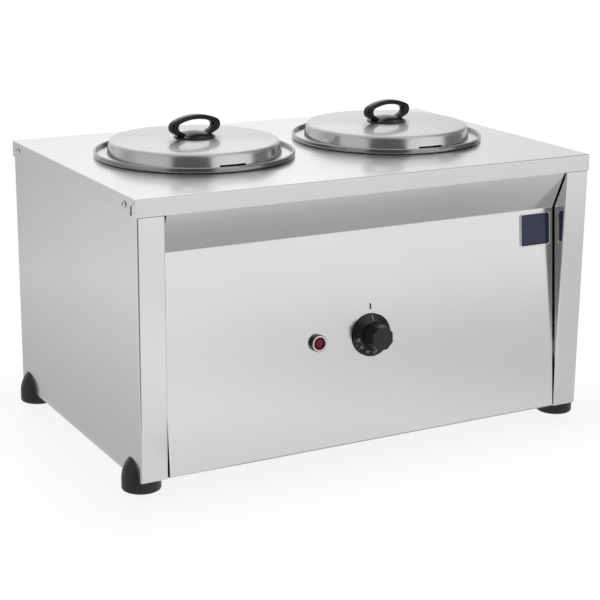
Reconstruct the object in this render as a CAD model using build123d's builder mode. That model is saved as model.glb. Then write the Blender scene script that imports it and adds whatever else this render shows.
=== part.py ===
from build123d import *
import os
from math import atan2, cos, sin

# Twin soup warmer: a folded steel water bath box with two lift-out pots, two lids and one thermostat.
# Millimetres, Z up, front towards -Y, origin on the floor under the middle of the box.
os.makedirs("parts", exist_ok=True)

# Sizes of the folded steel box
body_width = 600.0
body_depth = 390.0
body_height = 320.0
sheet = 1.0
bend_inside = 1.0
cover_flange = 20.0
flange_cut_back = 15.0
flange_cut_drop = 10.0
post_width = 34.0
post_return = 27.0
post_gap = 0.5
tuck_gap = 3.0
back_return = 18.0
panel_gap = 2.0
panel_recess = 22.0
panel_band = 47.0
panel_flange = 20.0
plate_gap = 1.0
vent_length = 60.0
vent_height = 4.0
vent_pitch = 12.0
vent_count = 5
vent_x = 150.0
back_vent_height = 200.0
floor_vent_x = 120.0

# Sizes of the screws: cover and foot screws are large, panel screws small
hole_play = 0.2
cover_screw_radius = 2.0
cover_screw_head = 4.5
cover_screw_dome = 2.6
cover_screw_length = 8.0
cover_screw_drop = 10.0
cover_screw_front = 30.0
cover_screw_back = 20.0
stud_radius = 2.5
stud_nut_flats = 8.0
stud_nut_height = 4.0
panel_screw_radius = 1.75
panel_screw_head = 3.6
panel_screw_dome = 2.2
panel_screw_length = 7.0
panel_screw_inset = 30.0
plate_screw_x = 180.0
plate_screw_inset = 12.0

# Sizes of the feet
foot_radius = 22.5
foot_height = 16.0
foot_tongue = 22.0
foot_tongue_start = 12.0
foot_tongue_lip = 1.0
foot_inset = 12.6
foot_setback = 27.0
foot_edge = 2.0
foot_recess_radius = 7.0
foot_recess_depth = 8.0
foot_screw_head = 4.8
foot_screw_dome = 3.0

# Sizes of the pots, which hang by their rims in the cover
pot_radius = 108.0
pot_wall = 1.0
pot_depth = 200.0
pot_corner = 8.0
pot_base_height = 8.5
pot_gap = 28.0
rim_width = 13.0
rim_bead = 3.5
rim_height = 7.0
rim_edge = 1.7
rim_foot_edge = 3.0
ledge_lift = 0.7
cover_hole_gap = 4.0

# Sizes of the lids and their loop handles
lid_sheet = 1.0
lid_gap = 0.5
lid_base_radius = 105.5
lid_shoulder_radius = 102.0
lid_shoulder_rise = 17.3
lid_crown_rise = 19.8
lid_corner = 4.0
lid_flat = 30.0
notch_width = 33.0
notch_rise = 4.6
notch_depth = 20.0
handle_turn = 8.0
handle_base_radius = 25.0
handle_base_height = 7.4
handle_base_edge = 1.5
loop_foot = 17.0
loop_reach = 44.0
loop_reach_rise = 12.4
loop_height = 27.0
loop_corner = 8.0
loop_depth = 10.0
loop_edge = 1.5
eye_foot = 12.0
eye_foot_rise = 4.0
eye_reach = 31.0
eye_reach_rise = 13.2
eye_height = 21.5
eye_corner = 5.0
lid_screw_radius = 2.5
lid_screw_head = 7.0
lid_screw_dome = 3.0
lid_screw_grip = 5.0

# Sizes of the water tank and its heating element
front_bay = 89.0
tank_margin = 9.0
tank_height = 238.0
tank_flange = 9.0
tank_corner = 20.0
tank_floor_edge = 5.0
element_radius = 4.25
element_lift = 2.0
element_pitch = 60.0
element_tail = 14.0
element_inset_y = 40.0
element_inset_x = 52.0
element_bend = 25.0
bush_radius = 7.0
bush_length = 10.0
bush_head_radius = 11.0
bush_head_height = 4.0
seal_thickness = 1.5
bush_nut_flats = 20.0
bush_nut_height = 6.0
clip_spread = 120.0
clip_length = 10.0
clip_wall = 2.0

# Sizes of the thermostat, its knob and its bulb
knob_drop = 125.0
knob_gap = 1.0
skirt_radius = 25.5
skirt_height = 6.0
skirt_rim = 1.6
skirt_edge = 0.6
grip_radius = 16.5
grip_sides = 8
grip_height = 20.0
grip_taper = 5.0
grip_edge = 0.8
hub_radius = 7.0
hub_depth = 14.0
knob_recess_radius = 19.0
knob_recess_depth = 3.0
spindle_radius = 3.0
spindle_fit = 0.05
spindle_flat = 1.6
spindle_free = 4.0
spindle_hole_radius = 5.0
thermostat_width = 40.0
thermostat_tall = 34.0
thermostat_depth = 30.0
thermostat_corner = 3.0
thermostat_bore = 14.0
thermostat_screw_spread = 14.0
capillary_radius = 1.0
capillary_bend = 10.0
capillary_fall = 25.0
capillary_lead = 10.0
bulb_radius = 3.5
bulb_length = 90.0
bulb_setback = 40.0
bulb_clip_spread = 50.0
bulb_clip_width = 12.0
bulb_clip_length = 10.0
bulb_clip_wall = 1.5

# Sizes of the pilot lamp
lamp_x = -72.0
lamp_radius = 10.0
lamp_height = 5.0
lamp_edge = 0.4
lamp_stem_radius = 6.5
lamp_stem_length = 22.0
bezel_outer = 9.3
bezel_inner = 7.5
bezel_depth = 1.4
bezel_proud = 0.8
bezel_edge = 0.4
lens_floor = 2.0
lens_rim = 2.1
lens_dome = 0.9
lamp_nut_flats = 18.0
lamp_nut_height = 4.0
lamp_tab_spread = 4.0

# Sizes of the wiring
tab_width = 6.3
tab_thickness = 0.8
tab_length = 9.0
tab_spread = 12.0
tab_high = 8.0
tab_low = -6.0
terminal_drop = 14.0
terminal_lap = 4.0
wire_radius = 1.5
wire_bend = 8.0
wire_loop = 14.0
wire_lead = 40.0
load_loop_drop = 40.0
neutral_rise = 24.0
block_inset = 150.0
block_setback = 85.0
block_poles = 4
pole_pitch = 12.0
block_depth = 22.0
block_height = 20.0
block_end = 2.0
ear_width = 11.0
ear_height = 6.0
pole_hole_radius = 2.0
pole_hole_depth = 6.0
pole_screw_radius = 1.5
pole_screw_head = 2.8
pole_screw_dome = 1.6
pole_screw_length = 6.0
pole_well_radius = 3.4
pole_well_depth = 4.0
earth_offset_x = 65.0
earth_offset_y = 40.0
earth_height = 18.0
lug_radius = 5.5
lug_thickness = 1.0
lug_length = 15.0
lug_barrel_radius = 2.3
lug_barrel_length = 7.0

# Sizes of the cable gland
gland_inset = 100.0
gland_rise = 60.0
gland_radius = 8.0
gland_bore = 4.5
gland_tail = 10.0
gland_flats = 22.0
gland_flange = 5.0
gland_nose_radius = 8.4
gland_nose_length = 6.0
gland_seal_radius = 6.8
gland_seal_length = 7.0
gland_cap_radius = 11.0
gland_cap_length = 12.77
gland_cap_edge = 3.0
gland_nut_height = 4.0

# Size of the blank badge plate
badge_width = 45.0
badge_height = 42.0
badge_corner = 4.0
badge_thickness = 1.2
badge_edge = 0.4
badge_inset = 4.0
badge_drop = 2.0

# Places worked out from the sizes
front_y = -body_depth / 2
back_y = body_depth / 2
base_z = foot_height
top_z = base_z + body_height
flange_z = top_z - cover_flange
bend_outside = bend_inside + sheet
side_x = body_width / 2 - sheet
post_x = body_width / 2 - post_width
panel_x = post_x - panel_gap
back_face_y = back_y - sheet
back_in_y = back_face_y - sheet
tuck_z = top_z - sheet - tuck_gap
post_top_z = flange_z - post_gap
bend_y = front_y + panel_recess
bend_z = flange_z - panel_band
panel_lean = atan2(panel_recess, bend_z - base_z)
plate_z = base_z + sheet
floor_z = plate_z + sheet
foot_x = body_width / 2 - foot_inset
foot_y = body_depth / 2 - foot_setback
rim_radius = pot_radius + rim_width
bead_radius = rim_radius - rim_bead
pot_x = rim_radius + pot_gap / 2
tank_half_x = pot_x + pot_radius + tank_margin
tank_half_y = pot_radius + tank_margin
tank_front = front_y + front_bay
pot_y = tank_front + tank_half_y
tank_z = top_z - sheet - tank_height
tank_floor_z = tank_z + sheet
element_rise = tank_floor_edge + bush_head_radius + element_lift
element_z = tank_floor_z + element_rise
seat_z = top_z + ledge_lift + pot_wall
crown_z = seat_z + lid_crown_rise
knob_rise = bend_z - base_z - knob_drop
knob_top = knob_gap + skirt_height
pole_height = stud_nut_height + lug_barrel_radius
gland_x = body_width / 2 - gland_inset
cover_screw_spots = [
    (side, y)
    for side in (-1, 1)
    for y in (front_y + cover_screw_front, back_y - cover_screw_back)
]
panel_screw_x = side_x - back_return / 2
panel_screw_z = (base_z + panel_screw_inset, (base_z + flange_z) / 2, flange_z - panel_screw_inset)
panel_screw_spots = [(side * panel_screw_x, z) for side in (-1, 1) for z in panel_screw_z]
plate_screw_spots = [
    (x, y)
    for x in (-plate_screw_x, 0, plate_screw_x)
    for y in (front_y + plate_screw_inset, back_face_y - plate_screw_inset)
]
foot_spots = {
    "front_left": (-1, -1),
    "front_right": (1, -1),
    "back_left": (-1, 1),
    "back_right": (1, 1),
}


def on_panel(x, rise):
    """Plane on the leaning front face, looking outwards, at a height above the box's lower edge."""
    y = front_y + panel_recess * rise / (bend_z - base_z)
    return Plane((x, y, base_z + rise), x_dir=(1, 0, 0), z_dir=(0, -cos(panel_lean), sin(panel_lean)))


def pan_screw(radius, length, head, dome):
    """Domed screw with the head's underside on the origin and its shank pointing down."""
    with BuildPart() as screw:
        with BuildSketch(Plane.XZ):
            with BuildLine():
                Polyline((0, dome), (0, -length), (radius, -length), (radius, 0), (head, 0))
                Line((head, 0), (head, dome / 3))
                TangentArc((0, dome), (head, dome / 3), tangent=(1, 0))
            make_face()
        revolve(axis=Axis.Z)
    return screw.part


def hex_nut(flats, height, bore):
    """Hexagon nut standing on the origin."""
    with BuildPart() as nut:
        with BuildSketch():
            RegularPolygon(flats / 2, 6, major_radius=False)
            Circle(bore, mode=Mode.SUBTRACT)
        extrude(amount=height)
    return nut.part


cover_screw = pan_screw(cover_screw_radius, cover_screw_length, cover_screw_head, cover_screw_dome)
panel_screw = pan_screw(panel_screw_radius, panel_screw_length, panel_screw_head, panel_screw_dome)

# Top cover: a shallow tray with two pot holes, its edge turned down all round
with BuildPart() as top_cover:
    with BuildSketch(Plane.XY.offset(flange_z)):
        Rectangle(body_width, body_depth)
    extrude(amount=cover_flange)
    fillet(top_cover.faces().sort_by(Axis.Z)[-1].edges(), radius=bend_outside)
    offset(amount=-sheet, openings=top_cover.faces().sort_by(Axis.Z)[0])
    with BuildSketch(Plane.XY.offset(top_z - sheet)):
        with Locations((-pot_x, pot_y), (pot_x, pot_y)):
            Circle(pot_radius + cover_hole_gap)
    extrude(amount=sheet, mode=Mode.SUBTRACT)
    for side in (-1, 1):
        with BuildSketch(Plane.YZ.offset(side * side_x)):
            with BuildLine():
                Polyline(
                    (front_y + sheet, flange_z),
                    (front_y + flange_cut_back, flange_z),
                    (front_y + flange_cut_back, top_z - flange_cut_drop),
                    (front_y + sheet, top_z - bend_outside),
                    close=True,
                )
            make_face()
        extrude(amount=side * sheet, mode=Mode.SUBTRACT)
    for side, y in cover_screw_spots:
        with BuildSketch(Plane.YZ.offset(side * side_x)):
            with Locations((y, top_z - cover_screw_drop)):
                Circle(cover_screw_radius + hole_play)
        extrude(amount=side * sheet, mode=Mode.SUBTRACT)
top_cover.part.label = "top_cover"
export_step(top_cover.part, "parts/top_cover.step")

# Side panels: front post, side wall and back return folded from one sheet, foot flange below
for name, side in (("left", -1), ("right", 1)):
    with BuildPart() as side_panel:
        with BuildSketch(Plane.XY.offset(base_z)):
            with BuildLine():
                FilletPolyline(
                    (side * post_x, front_y + post_return),
                    (side * post_x, front_y),
                    (side * side_x, front_y),
                    (side * side_x, back_in_y),
                    (side * (side_x - back_return), back_in_y),
                    radius=bend_outside,
                )
                offset(amount=sheet, side=Side.LEFT if side > 0 else Side.RIGHT)
            make_face()
        extrude(amount=post_top_z - base_z)
        with BuildSketch(Plane.YZ.offset(side * side_x)):
            with Locations((front_y + sheet + post_gap, post_top_z)):
                Rectangle(
                    back_in_y - bend_outside - front_y - sheet - post_gap,
                    tuck_z - post_top_z,
                    align=(Align.MIN, Align.MIN),
                )
        extrude(amount=-side * sheet)
        with BuildSketch(Plane.XY.offset(base_z)):
            with Locations(((side_x + post_x) / 2 * side, (front_y + back_in_y) / 2)):
                Rectangle(side_x - post_x - bend_outside, back_in_y - front_y - 2 * bend_outside)
            with Locations((side * (side_x - sheet), (front_y + back_in_y) / 2)):
                Rectangle(sheet, back_in_y - front_y - 2 * bend_outside)
            with Locations((side * foot_x, -foot_y), (side * foot_x, foot_y)):
                Circle(stud_radius + hole_play, mode=Mode.SUBTRACT)
        extrude(amount=sheet)
        with BuildSketch(Plane.YZ.offset(side * side_x)):
            for screw_side, y in cover_screw_spots:
                if screw_side == side:
                    with Locations((y, top_z - cover_screw_drop)):
                        Circle(cover_screw_radius + hole_play)
        extrude(amount=-side * sheet, mode=Mode.SUBTRACT)
        with BuildSketch(Plane.XZ.offset(-back_in_y)):
            for x, z in panel_screw_spots:
                if x * side > 0:
                    with Locations((x, z)):
                        Circle(panel_screw_radius + hole_play)
        extrude(amount=sheet, mode=Mode.SUBTRACT)
    side_panel.part.label = f"{name}_side_panel"
    export_step(side_panel.part, f"parts/{name}_side_panel.step")

# Front panel: leaning lower face, band sloping forward above the bend, flanges at both ends
thermostat_screw_x = (-thermostat_screw_spread, thermostat_screw_spread)
knob_plane = on_panel(0, knob_rise)
lamp_plane = on_panel(lamp_x, knob_rise)
with BuildPart() as front_panel:
    with BuildSketch(Plane.YZ):
        with BuildLine():
            FilletPolyline(
                (front_y + panel_flange, base_z),
                (front_y, base_z),
                (bend_y, bend_z),
                (front_y + sheet, flange_z),
                (front_y + sheet, tuck_z),
                radius=bend_outside,
            )
            offset(amount=sheet, side=Side.RIGHT)
        make_face()
    extrude(amount=panel_x, both=True)
    with BuildSketch(knob_plane):
        Circle(spindle_hole_radius)
        with Locations(*[(x, 0) for x in thermostat_screw_x]):
            Circle(panel_screw_radius + hole_play)
    extrude(amount=-2 * sheet, mode=Mode.SUBTRACT)
    with BuildSketch(lamp_plane):
        Circle(lamp_stem_radius + hole_play)
    extrude(amount=-2 * sheet, mode=Mode.SUBTRACT)
    with BuildSketch(Plane.XY.offset(base_z)):
        for x, y in plate_screw_spots:
            if y < 0:
                with Locations((x, y)):
                    Circle(panel_screw_radius + hole_play)
    extrude(amount=sheet, mode=Mode.SUBTRACT)
front_panel.part.label = "front_panel"
export_step(front_panel.part, "parts/front_panel.step")

# Back panel: flat sheet on the side panels' returns, with vents, a cable hole and a foot flange
with BuildPart() as back_panel:
    with BuildSketch(Plane.YZ):
        with BuildLine():
            FilletPolyline(
                (back_face_y, tuck_z),
                (back_face_y, base_z),
                (back_face_y - panel_flange, base_z),
                radius=bend_outside,
            )
            offset(amount=sheet, side=Side.RIGHT)
        make_face()
    extrude(amount=panel_x, both=True)
    with BuildSketch(Plane.XZ.offset(-back_face_y)):
        with Locations((0, base_z + bend_outside)):
            Rectangle(
                2 * (side_x - panel_gap), tuck_z - base_z - bend_outside, align=(Align.CENTER, Align.MIN)
            )
    extrude(amount=sheet)
    with BuildSketch(Plane.XZ.offset(-back_face_y)):
        for x in (-vent_x, vent_x):
            with Locations((x, base_z + back_vent_height)):
                with GridLocations(0, vent_pitch, 1, vent_count):
                    SlotOverall(vent_length, vent_height)
        with Locations((gland_x, base_z + gland_rise)):
            Circle(gland_radius + hole_play)
        with Locations(*panel_screw_spots):
            Circle(panel_screw_radius + hole_play)
    extrude(amount=sheet, mode=Mode.SUBTRACT)
    with BuildSketch(Plane.XY.offset(base_z)):
        for x, y in plate_screw_spots:
            if y > 0:
                with Locations((x, y)):
                    Circle(panel_screw_radius + hole_play)
    extrude(amount=sheet, mode=Mode.SUBTRACT)
back_panel.part.label = "back_panel"
export_step(back_panel.part, "parts/back_panel.step")

# Bottom plate: flat sheet lying on all four foot flanges, cut round the two posts
block_x = body_width / 2 - block_inset
block_y = back_y - block_setback
earth_x = block_x + earth_offset_x
earth_y = block_y - earth_offset_y
ear_x = block_poles * pole_pitch / 2 + block_end + ear_width / 2
with BuildPart() as bottom_plate:
    plate_front = front_y + post_return + plate_gap
    plate_back = back_in_y - sheet - plate_gap
    tongue_front = front_y + sheet + bend_outside
    with BuildSketch(Plane.XY.offset(plate_z)):
        with Locations((0, (plate_front + plate_back) / 2)):
            Rectangle(2 * (side_x - sheet - plate_gap), plate_back - plate_front)
        with Locations((0, tongue_front)):
            Rectangle(2 * (panel_x - plate_gap), plate_back - tongue_front, align=(Align.CENTER, Align.MIN))
        with Locations(*plate_screw_spots):
            Circle(panel_screw_radius + hole_play, mode=Mode.SUBTRACT)
        with Locations(*[(x * foot_x, y * foot_y) for x, y in foot_spots.values()]):
            Circle(stud_radius + hole_play, mode=Mode.SUBTRACT)
        with Locations((block_x - ear_x, block_y), (block_x + ear_x, block_y)):
            Circle(panel_screw_radius + hole_play, mode=Mode.SUBTRACT)
        for x in (-floor_vent_x, floor_vent_x):
            with Locations((x, 0)):
                with GridLocations(0, vent_pitch, 1, vent_count):
                    SlotOverall(vent_length, vent_height, mode=Mode.SUBTRACT)
    extrude(amount=sheet)
bottom_plate.part.label = "bottom_plate"
export_step(bottom_plate.part, "parts/bottom_plate.step")

# Feet: round black plastic pads under the corners, each with a tongue lapping the side wall
tongue_z = foot_height + foot_tongue
tongue_radius = side_x - foot_x + foot_tongue_lip
for name, (side, end) in foot_spots.items():
    with BuildPart() as foot:
        with BuildSketch(Plane((side * foot_x, end * foot_y, 0), x_dir=(1, 0, 0), z_dir=(0, -1, 0))):
            with BuildLine():
                Polyline((tongue_radius, tongue_z), (0, tongue_z), (0, 0), (foot_radius, 0))
                Line((foot_radius, 0), (foot_radius, foot_tongue_start))
                TangentArc(
                    (foot_radius, foot_tongue_start), (tongue_radius, tongue_z), tangent=(0, 1)
                )
            make_face()
        revolve(axis=Axis((side * foot_x, end * foot_y, 0), (0, 0, 1)))
        fillet(foot.edges().filter_by(GeomType.CIRCLE).sort_by(Axis.Z)[0], radius=foot_edge)
        with BuildSketch(Plane.XY.offset(foot_height)):
            with Locations((side * (side_x - foot_radius), end * foot_y)):
                Rectangle(2 * foot_radius, 3 * foot_radius)
        extrude(amount=foot_tongue, mode=Mode.SUBTRACT)
        with BuildSketch():
            with Locations((side * foot_x, end * foot_y)):
                Circle(foot_recess_radius)
        extrude(amount=foot_recess_depth, mode=Mode.SUBTRACT)
        with BuildSketch(Plane.XY.offset(foot_recess_depth)):
            with Locations((side * foot_x, end * foot_y)):
                Circle(stud_radius + hole_play)
        extrude(amount=foot_height - foot_recess_depth, mode=Mode.SUBTRACT)
    foot.part.label = f"{name}_foot"
    export_step(foot.part, f"parts/{name}_foot.step")

# Foot screws: up through each foot, the foot flange and the bottom plate into a nut
foot_screw_length = floor_z + stud_nut_height + sheet - foot_recess_depth
foot_screw = pan_screw(stud_radius, foot_screw_length, foot_screw_head, foot_screw_dome)
with BuildPart() as foot_screws:
    with Locations(
        *[
            Plane((x * foot_x, y * foot_y, foot_recess_depth), x_dir=(1, 0, 0), z_dir=(0, 0, -1))
            for x, y in foot_spots.values()
        ]
    ):
        add(foot_screw)
foot_screws.part.label = "foot_screws"
export_step(foot_screws.part, "parts/foot_screws.step")

# Hexagon nuts: on the foot screws above the bottom plate, and below and above the earth lug
stud_nut = hex_nut(stud_nut_flats, stud_nut_height, stud_radius)
lug_z = floor_z + stud_nut_height
with BuildPart() as hex_nuts:
    with Locations(*[(x * foot_x, y * foot_y, floor_z) for x, y in foot_spots.values()]):
        add(stud_nut)
    with Locations((earth_x, earth_y, floor_z), (earth_x, earth_y, lug_z + lug_thickness)):
        add(stud_nut)
hex_nuts.part.label = "hex_nuts"
export_step(hex_nuts.part, "parts/hex_nuts.step")

# Cover screws: two a side, through the cover's edge into the side walls
with BuildPart() as cover_screws:
    with Locations(
        *[
            Plane((side * body_width / 2, y, top_z - cover_screw_drop), x_dir=(0, 1, 0), z_dir=(side, 0, 0))
            for side, y in cover_screw_spots
        ]
    ):
        add(cover_screw)
cover_screws.part.label = "cover_screws"
export_step(cover_screws.part, "parts/cover_screws.step")

# Panel screws: three a side through the back panel, six up into the bottom plate, two for the thermostat
with BuildPart() as panel_screws:
    with Locations(
        *[Plane((x, back_face_y, z), x_dir=(1, 0, 0), z_dir=(0, 1, 0)) for x, z in panel_screw_spots]
    ):
        add(panel_screw)
    with Locations(
        *[Plane((x, y, base_z), x_dir=(1, 0, 0), z_dir=(0, 0, -1)) for x, y in plate_screw_spots]
    ):
        add(panel_screw)
    with Locations(*[on_panel(x, knob_rise) for x in thermostat_screw_x]):
        add(panel_screw)
panel_screws.part.label = "panel_screws"
export_step(panel_screws.part, "parts/panel_screws.step")

# Water tank: a deep rounded pan hung under the cover, flange against the cover's underside
element_spots = (-element_pitch / 2, element_pitch / 2)
with BuildPart() as water_tank:
    with BuildSketch(Plane.XY.offset(tank_z)):
        with Locations((0, pot_y)):
            RectangleRounded(2 * tank_half_x, 2 * tank_half_y, tank_corner)
    extrude(amount=tank_height)
    fillet(water_tank.faces().sort_by(Axis.Z)[0].edges(), radius=tank_floor_edge)
    offset(amount=-sheet, openings=water_tank.faces().sort_by(Axis.Z)[-1])
    with BuildSketch(Plane.XY.offset(tank_z + tank_height)):
        with Locations((0, pot_y)):
            RectangleRounded(
                2 * (tank_half_x + tank_flange), 2 * (tank_half_y + tank_flange), tank_corner + tank_flange
            )
            RectangleRounded(
                2 * (tank_half_x - sheet),
                2 * (tank_half_y - sheet),
                tank_corner - sheet,
                mode=Mode.SUBTRACT,
            )
    extrude(amount=-sheet)
    with BuildSketch(Plane.XZ.offset(-tank_front)):
        with Locations(*[(x, element_z) for x in element_spots]):
            Circle(bush_radius + hole_play)
    extrude(amount=-sheet, mode=Mode.SUBTRACT)
water_tank.part.label = "water_tank"
export_step(water_tank.part, "parts/water_tank.step")

# Heating element: one bent tube lying over the tank floor, both ends out through the front wall
element_end = tank_front - element_tail
element_near = tank_front + element_inset_y
element_far = tank_front + 2 * tank_half_y - element_inset_y
element_half = tank_half_x - element_inset_x
with BuildPart() as heating_element:
    with BuildLine() as element_path:
        FilletPolyline(
            (element_spots[0], element_end, element_z),
            (element_spots[0], element_near, element_z),
            (-element_half, element_near, element_z),
            (-element_half, element_far, element_z),
            (element_half, element_far, element_z),
            (element_half, element_near, element_z),
            (element_spots[1], element_near, element_z),
            (element_spots[1], element_end, element_z),
            radius=element_bend,
        )
    with BuildSketch(Plane(element_path.line @ 0, z_dir=element_path.line % 0)):
        Circle(element_radius)
    sweep()
heating_element.part.label = "heating_element"
export_step(heating_element.part, "parts/heating_element.step")

# Element bushes: threaded collars on the tube, head inside the tank, thread out through its wall
bush_planes = [Plane((x, tank_front, element_z), x_dir=(1, 0, 0), z_dir=(0, -1, 0)) for x in element_spots]
bush_seat = sheet + seal_thickness
with BuildPart() as element_bushes:
    for plane in bush_planes:
        with BuildSketch(plane.offset(-bush_seat - bush_head_height)):
            Circle(bush_head_radius)
            Circle(element_radius, mode=Mode.SUBTRACT)
        extrude(amount=bush_head_height)
        with BuildSketch(plane.offset(-bush_seat)):
            Circle(bush_radius)
            Circle(element_radius, mode=Mode.SUBTRACT)
        extrude(amount=bush_seat + bush_length)
element_bushes.part.label = "element_bushes"
export_step(element_bushes.part, "parts/element_bushes.step")

# Element seals: flat rings squeezed between the bush heads and the tank wall
with BuildPart() as element_seals:
    for plane in bush_planes:
        with BuildSketch(plane.offset(-bush_seat)):
            Circle(bush_head_radius)
            Circle(bush_radius, mode=Mode.SUBTRACT)
        extrude(amount=seal_thickness)
element_seals.part.label = "element_seals"
export_step(element_seals.part, "parts/element_seals.step")

# Element nuts: on the bush threads outside the tank
bush_nut = hex_nut(bush_nut_flats, bush_nut_height, bush_radius)
with BuildPart() as element_nuts:
    with Locations(*bush_planes):
        add(bush_nut)
element_nuts.part.label = "element_nuts"
export_step(element_nuts.part, "parts/element_nuts.step")

# Element clips: saddles on the tank floor round the long runs of the tube
with BuildPart() as element_clips:
    for x in (-clip_spread, clip_spread):
        for y in (element_near, element_far):
            with BuildSketch(Plane.YZ.offset(x - clip_length / 2)):
                with Locations((y, tank_floor_z)):
                    Rectangle(
                        2 * (element_radius + clip_wall),
                        element_rise + element_radius + clip_wall,
                        align=(Align.CENTER, Align.MIN),
                    )
                with Locations((y, element_z)):
                    Circle(element_radius, mode=Mode.SUBTRACT)
            extrude(amount=clip_length)
element_clips.part.label = "element_clips"
export_step(element_clips.part, "parts/element_clips.step")

# Element terminals: flat blades on the tube ends, pointing down
with BuildPart() as element_terminals:
    with BuildSketch(Plane.XZ.offset(-element_end)):
        with Locations(*[(x, element_z + terminal_lap) for x in element_spots]):
            Rectangle(tab_width, terminal_lap + terminal_drop, align=(Align.CENTER, Align.MAX))
    extrude(amount=tab_thickness)
element_terminals.part.label = "element_terminals"
export_step(element_terminals.part, "parts/element_terminals.step")

# Thermostat body: moulded block behind the front panel with a bore for the spindle
tab_spots = [(tab_spread, tab_high), (-tab_spread, tab_low), (-tab_spread, tab_high)]
with BuildPart() as thermostat_body:
    with BuildSketch(knob_plane.offset(-sheet)):
        RectangleRounded(thermostat_width, thermostat_tall, thermostat_corner)
    extrude(amount=-thermostat_depth)
    with BuildSketch(knob_plane.offset(-sheet)):
        Circle(spindle_radius + spindle_fit)
    extrude(amount=-thermostat_bore, mode=Mode.SUBTRACT)
    with BuildSketch(knob_plane.offset(-sheet)):
        with Locations(*[(x, 0) for x in thermostat_screw_x]):
            Circle(panel_screw_radius)
    extrude(amount=-panel_screw_length, mode=Mode.SUBTRACT)
thermostat_body.part.label = "thermostat_body"
export_step(thermostat_body.part, "parts/thermostat_body.step")

# Thermostat tabs: three flat blades on the back of the body
thermostat_back = sheet + thermostat_depth
with BuildPart() as thermostat_tabs:
    with BuildSketch(knob_plane.offset(-thermostat_back)):
        with Locations(*tab_spots):
            Rectangle(tab_thickness, tab_width)
    extrude(amount=-tab_length)
thermostat_tabs.part.label = "thermostat_tabs"
export_step(thermostat_tabs.part, "parts/thermostat_tabs.step")

# Thermostat spindle: round shaft in the body's bore, flatted where the knob sits
spindle_start = -sheet - thermostat_bore + spindle_free
spindle_end = knob_gap + hub_depth
with BuildPart() as thermostat_spindle:
    with BuildSketch(knob_plane.offset(spindle_start)):
        Circle(spindle_radius)
    extrude(amount=spindle_end - spindle_start)
    with BuildSketch(knob_plane.offset(knob_gap)):
        with Locations((0, -spindle_flat)):
            Rectangle(2 * spindle_radius, spindle_radius, align=(Align.CENTER, Align.MAX))
    extrude(amount=hub_depth, mode=Mode.SUBTRACT)
thermostat_spindle.part.label = "thermostat_spindle"
export_step(thermostat_spindle.part, "parts/thermostat_spindle.step")

# Thermostat knob: coned skirt, eight-sided tapered grip and a flatted bore
knob_section = Plane(knob_plane.origin, x_dir=(1, 0, 0), z_dir=-knob_plane.y_dir)
knob_axis = Axis(knob_plane.origin, knob_plane.z_dir)
with BuildPart() as thermostat_knob:
    with BuildSketch(knob_plane.offset(knob_top)):
        RegularPolygon(grip_radius, grip_sides, rotation=180 / grip_sides)
    extrude(amount=grip_height, taper=grip_taper)
    grip_foot = thermostat_knob.faces().sort_by(knob_axis)[0].edges()
    fillet([edge for edge in thermostat_knob.edges() if edge not in grip_foot], radius=grip_edge)
    with BuildSketch(knob_section):
        with BuildLine():
            FilletPolyline(
                (0, knob_gap),
                (skirt_radius, knob_gap),
                (skirt_radius, knob_gap + skirt_rim),
                (grip_radius, knob_top),
                (0, knob_top),
                radius=[0, skirt_edge, skirt_edge, 0, 0],
                close=True,
            )
        make_face()
    revolve(axis=knob_axis)
    with BuildSketch(knob_plane.offset(knob_gap)):
        Circle(knob_recess_radius)
        Circle(hub_radius, mode=Mode.SUBTRACT)
    extrude(amount=knob_recess_depth, mode=Mode.SUBTRACT)
    with BuildSketch(knob_plane.offset(knob_gap)):
        Circle(spindle_radius)
        with Locations((0, -spindle_flat)):
            Rectangle(
                2 * spindle_radius, spindle_radius, align=(Align.CENTER, Align.MAX), mode=Mode.SUBTRACT
            )
    extrude(amount=hub_depth, mode=Mode.SUBTRACT)
thermostat_knob.part.label = "thermostat_knob"
export_step(thermostat_knob.part, "parts/thermostat_knob.step")

# Thermostat bulb: a plain rod along the underside of the tank
bulb_start = tank_front + bulb_setback
bulb_z = tank_z - bulb_radius
with BuildPart() as thermostat_bulb:
    with BuildSketch(Plane.XZ.offset(-bulb_start)):
        with Locations((0, bulb_z)):
            Circle(bulb_radius)
    extrude(amount=-bulb_length)
thermostat_bulb.part.label = "thermostat_bulb"
export_step(thermostat_bulb.part, "parts/thermostat_bulb.step")

# Thermostat capillary: fine tube from under the body, bent back below the tank to the bulb
capillary_start = knob_plane.from_local_coords((0, -thermostat_tall / 2, -sheet - thermostat_depth / 2))
capillary_turn = capillary_start - knob_plane.y_dir * capillary_fall
with BuildPart() as thermostat_capillary:
    with BuildLine() as capillary_path:
        FilletPolyline(
            capillary_start,
            capillary_turn,
            (0, tank_front - capillary_lead, bulb_z),
            (0, bulb_start, bulb_z),
            radius=capillary_bend,
        )
    with BuildSketch(Plane(capillary_path.line @ 0, z_dir=capillary_path.line % 0)):
        Circle(capillary_radius)
    sweep()
thermostat_capillary.part.label = "thermostat_capillary"
export_step(thermostat_capillary.part, "parts/thermostat_capillary.step")

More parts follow.
